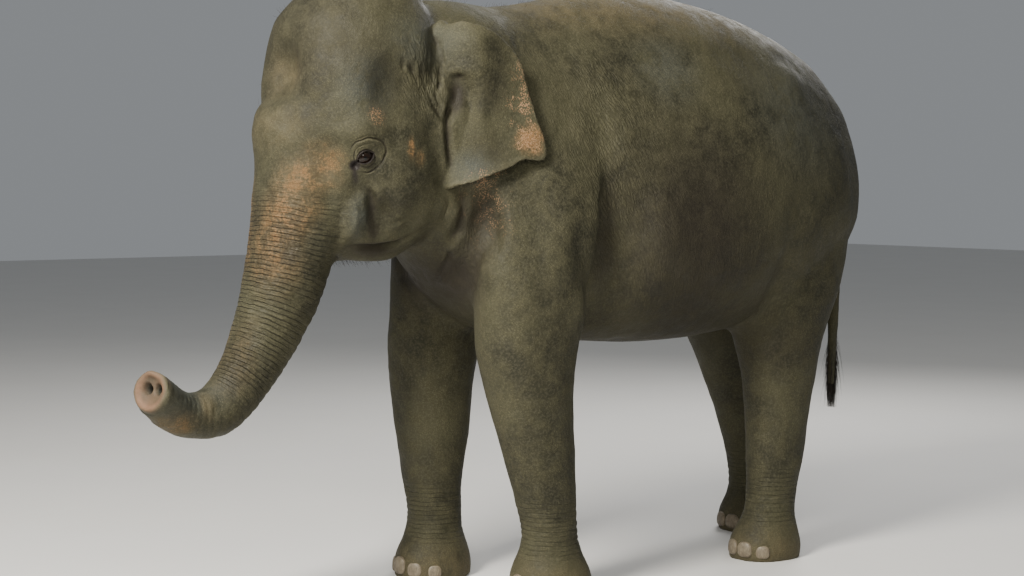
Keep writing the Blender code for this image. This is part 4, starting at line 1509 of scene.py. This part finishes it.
def make_bristles(skin, material):
    """Sparse bristles over the crown, the nape and the back, and on the chin."""
    dice = np.random.default_rng(13)
    tree = BVHTree.FromObject(skin, bpy.context.evaluated_depsgraph_get())
    hairs = Hairs()
    # centre of a cloud of rays, its spread, their direction up or down, number, length
    zones = table("""
    -0.62 2.6  0.22 0.24  -1  620 0.034
    0.1 2.7  0.12 0.6  -1  200 0.02
    -0.62 1  0.1 0.12  1  110 0.022
    """)
    for y, z, wide, long, way, count, length in zones:
        for _ in range(int(count)):
            start = Vector((dice.normal(0, wide / 1.6), y + dice.normal(0, long / 1.6), z))
            hit, normal, _, _ = tree.ray_cast(start + SHIFT, Vector((0, 0, way)))
            if hit is None:
                continue
            hit = hit - SHIFT
            size = length * (0.5 + dice.random())
            lean = Vector((dice.normal(0, 0.25), 0.35 + dice.normal(0, 0.25), dice.normal(0, 0.15)))
            lean = (normal + lean).normalized()
            sag = Vector((0, 0.25, -0.1)) * size
            hairs.add(hit, lean * size, sag, 2, 0.001, normal * 0.002)
    return hairs.gather("bristles", material)


# ---------------- scene


def aim(thing, place, way):
    thing.location = place
    thing.rotation_mode = "QUATERNION"
    thing.rotation_quaternion = way.to_track_quat("-Z", "Y")


def make_stage():
    corners = [(-30, -30, 0), (30, -30, 0), (30, 30, 0), (-30, 30, 0)]
    floor = mesh_object("floor", corners, [(0, 1, 2, 3)])
    floor.data.materials.append(floor_material())
    world = bpy.data.worlds.new("studio")
    bpy.context.scene.world = world
    world.use_nodes = True
    background = world.node_tree.nodes["Background"]
    background.inputs["Color"].default_value = (0.8, 0.84, 0.88, 1)
    background.inputs["Strength"].default_value = 0.3


def make_light(name, place, target, size, watts, colour, mirrored_light=True):
    data = bpy.data.lights.new(name, "AREA")
    data.shape = "DISK"
    data.size = size
    data.energy = watts
    data.color = colour
    light = add_object(name, data)
    aim(light, place, Vector(target) - Vector(place))
    light.visible_glossy = mirrored_light


CAMERA_AZIMUTH = math.radians(55.0)
CAMERA_PITCH = math.radians(3.4)
CAMERA_DISTANCE = 7.0
CAMERA_HEIGHT = 1.6
CAMERA_ASIDE = 0.08
CAMERA_LENS = 62.0


def make_camera():
    back = Vector((math.sin(CAMERA_AZIMUTH), -math.cos(CAMERA_AZIMUTH), 0))
    right = Vector((math.cos(CAMERA_AZIMUTH), math.sin(CAMERA_AZIMUTH), 0))
    data = bpy.data.cameras.new("camera")
    data.lens = CAMERA_LENS
    data.sensor_width = 36
    camera = add_object("camera", data)
    place = back * CAMERA_DISTANCE + right * CAMERA_ASIDE
    way = -back * math.cos(CAMERA_PITCH) - Vector((0, 0, math.sin(CAMERA_PITCH)))
    aim(camera, (place.x, place.y + SHIFT.y, CAMERA_HEIGHT), way)
    bpy.context.scene.camera = camera


make_camera()
make_stage()
make_light("key", (2.0, -5.4, 5.2), (0, 0, 1.2), 2.2, 1120, (1.0, 0.96, 0.87))
make_light("fill", (6.5, -4.5, 3.5), (0, 0, 1.2), 4.0, 430, (1.0, 0.98, 0.95), False)
make_light("rim", (-3.0, 5.0, 5.0), (0, 0.5, 1.3), 3.5, 320, (1.0, 0.98, 0.95))

skin = make_skin()
subparts = frame["record"]["subparts"]
flesh_nodes = [entry["node"] for entry in subparts if entry["material_slot"] == "skin"]
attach(skin, "root")
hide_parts(*flesh_nodes)

eye_paint = eye_material()
for side, node in ((1, "eye_left"), (-1, "eye_right")):
    ball = make_eye(side, eye_paint)
    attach(ball, "root")
    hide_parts(node)

for thing, node in make_nails(nail_material()):
    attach(thing, "root")
    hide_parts(node)

hair_paint = hair_material()
tuft = make_tuft(hair_paint)
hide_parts("tail_tuft")
for thing in (tuft, make_lashes(hair_paint), make_bristles(skin, hair_paint)):
    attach(thing, "root")
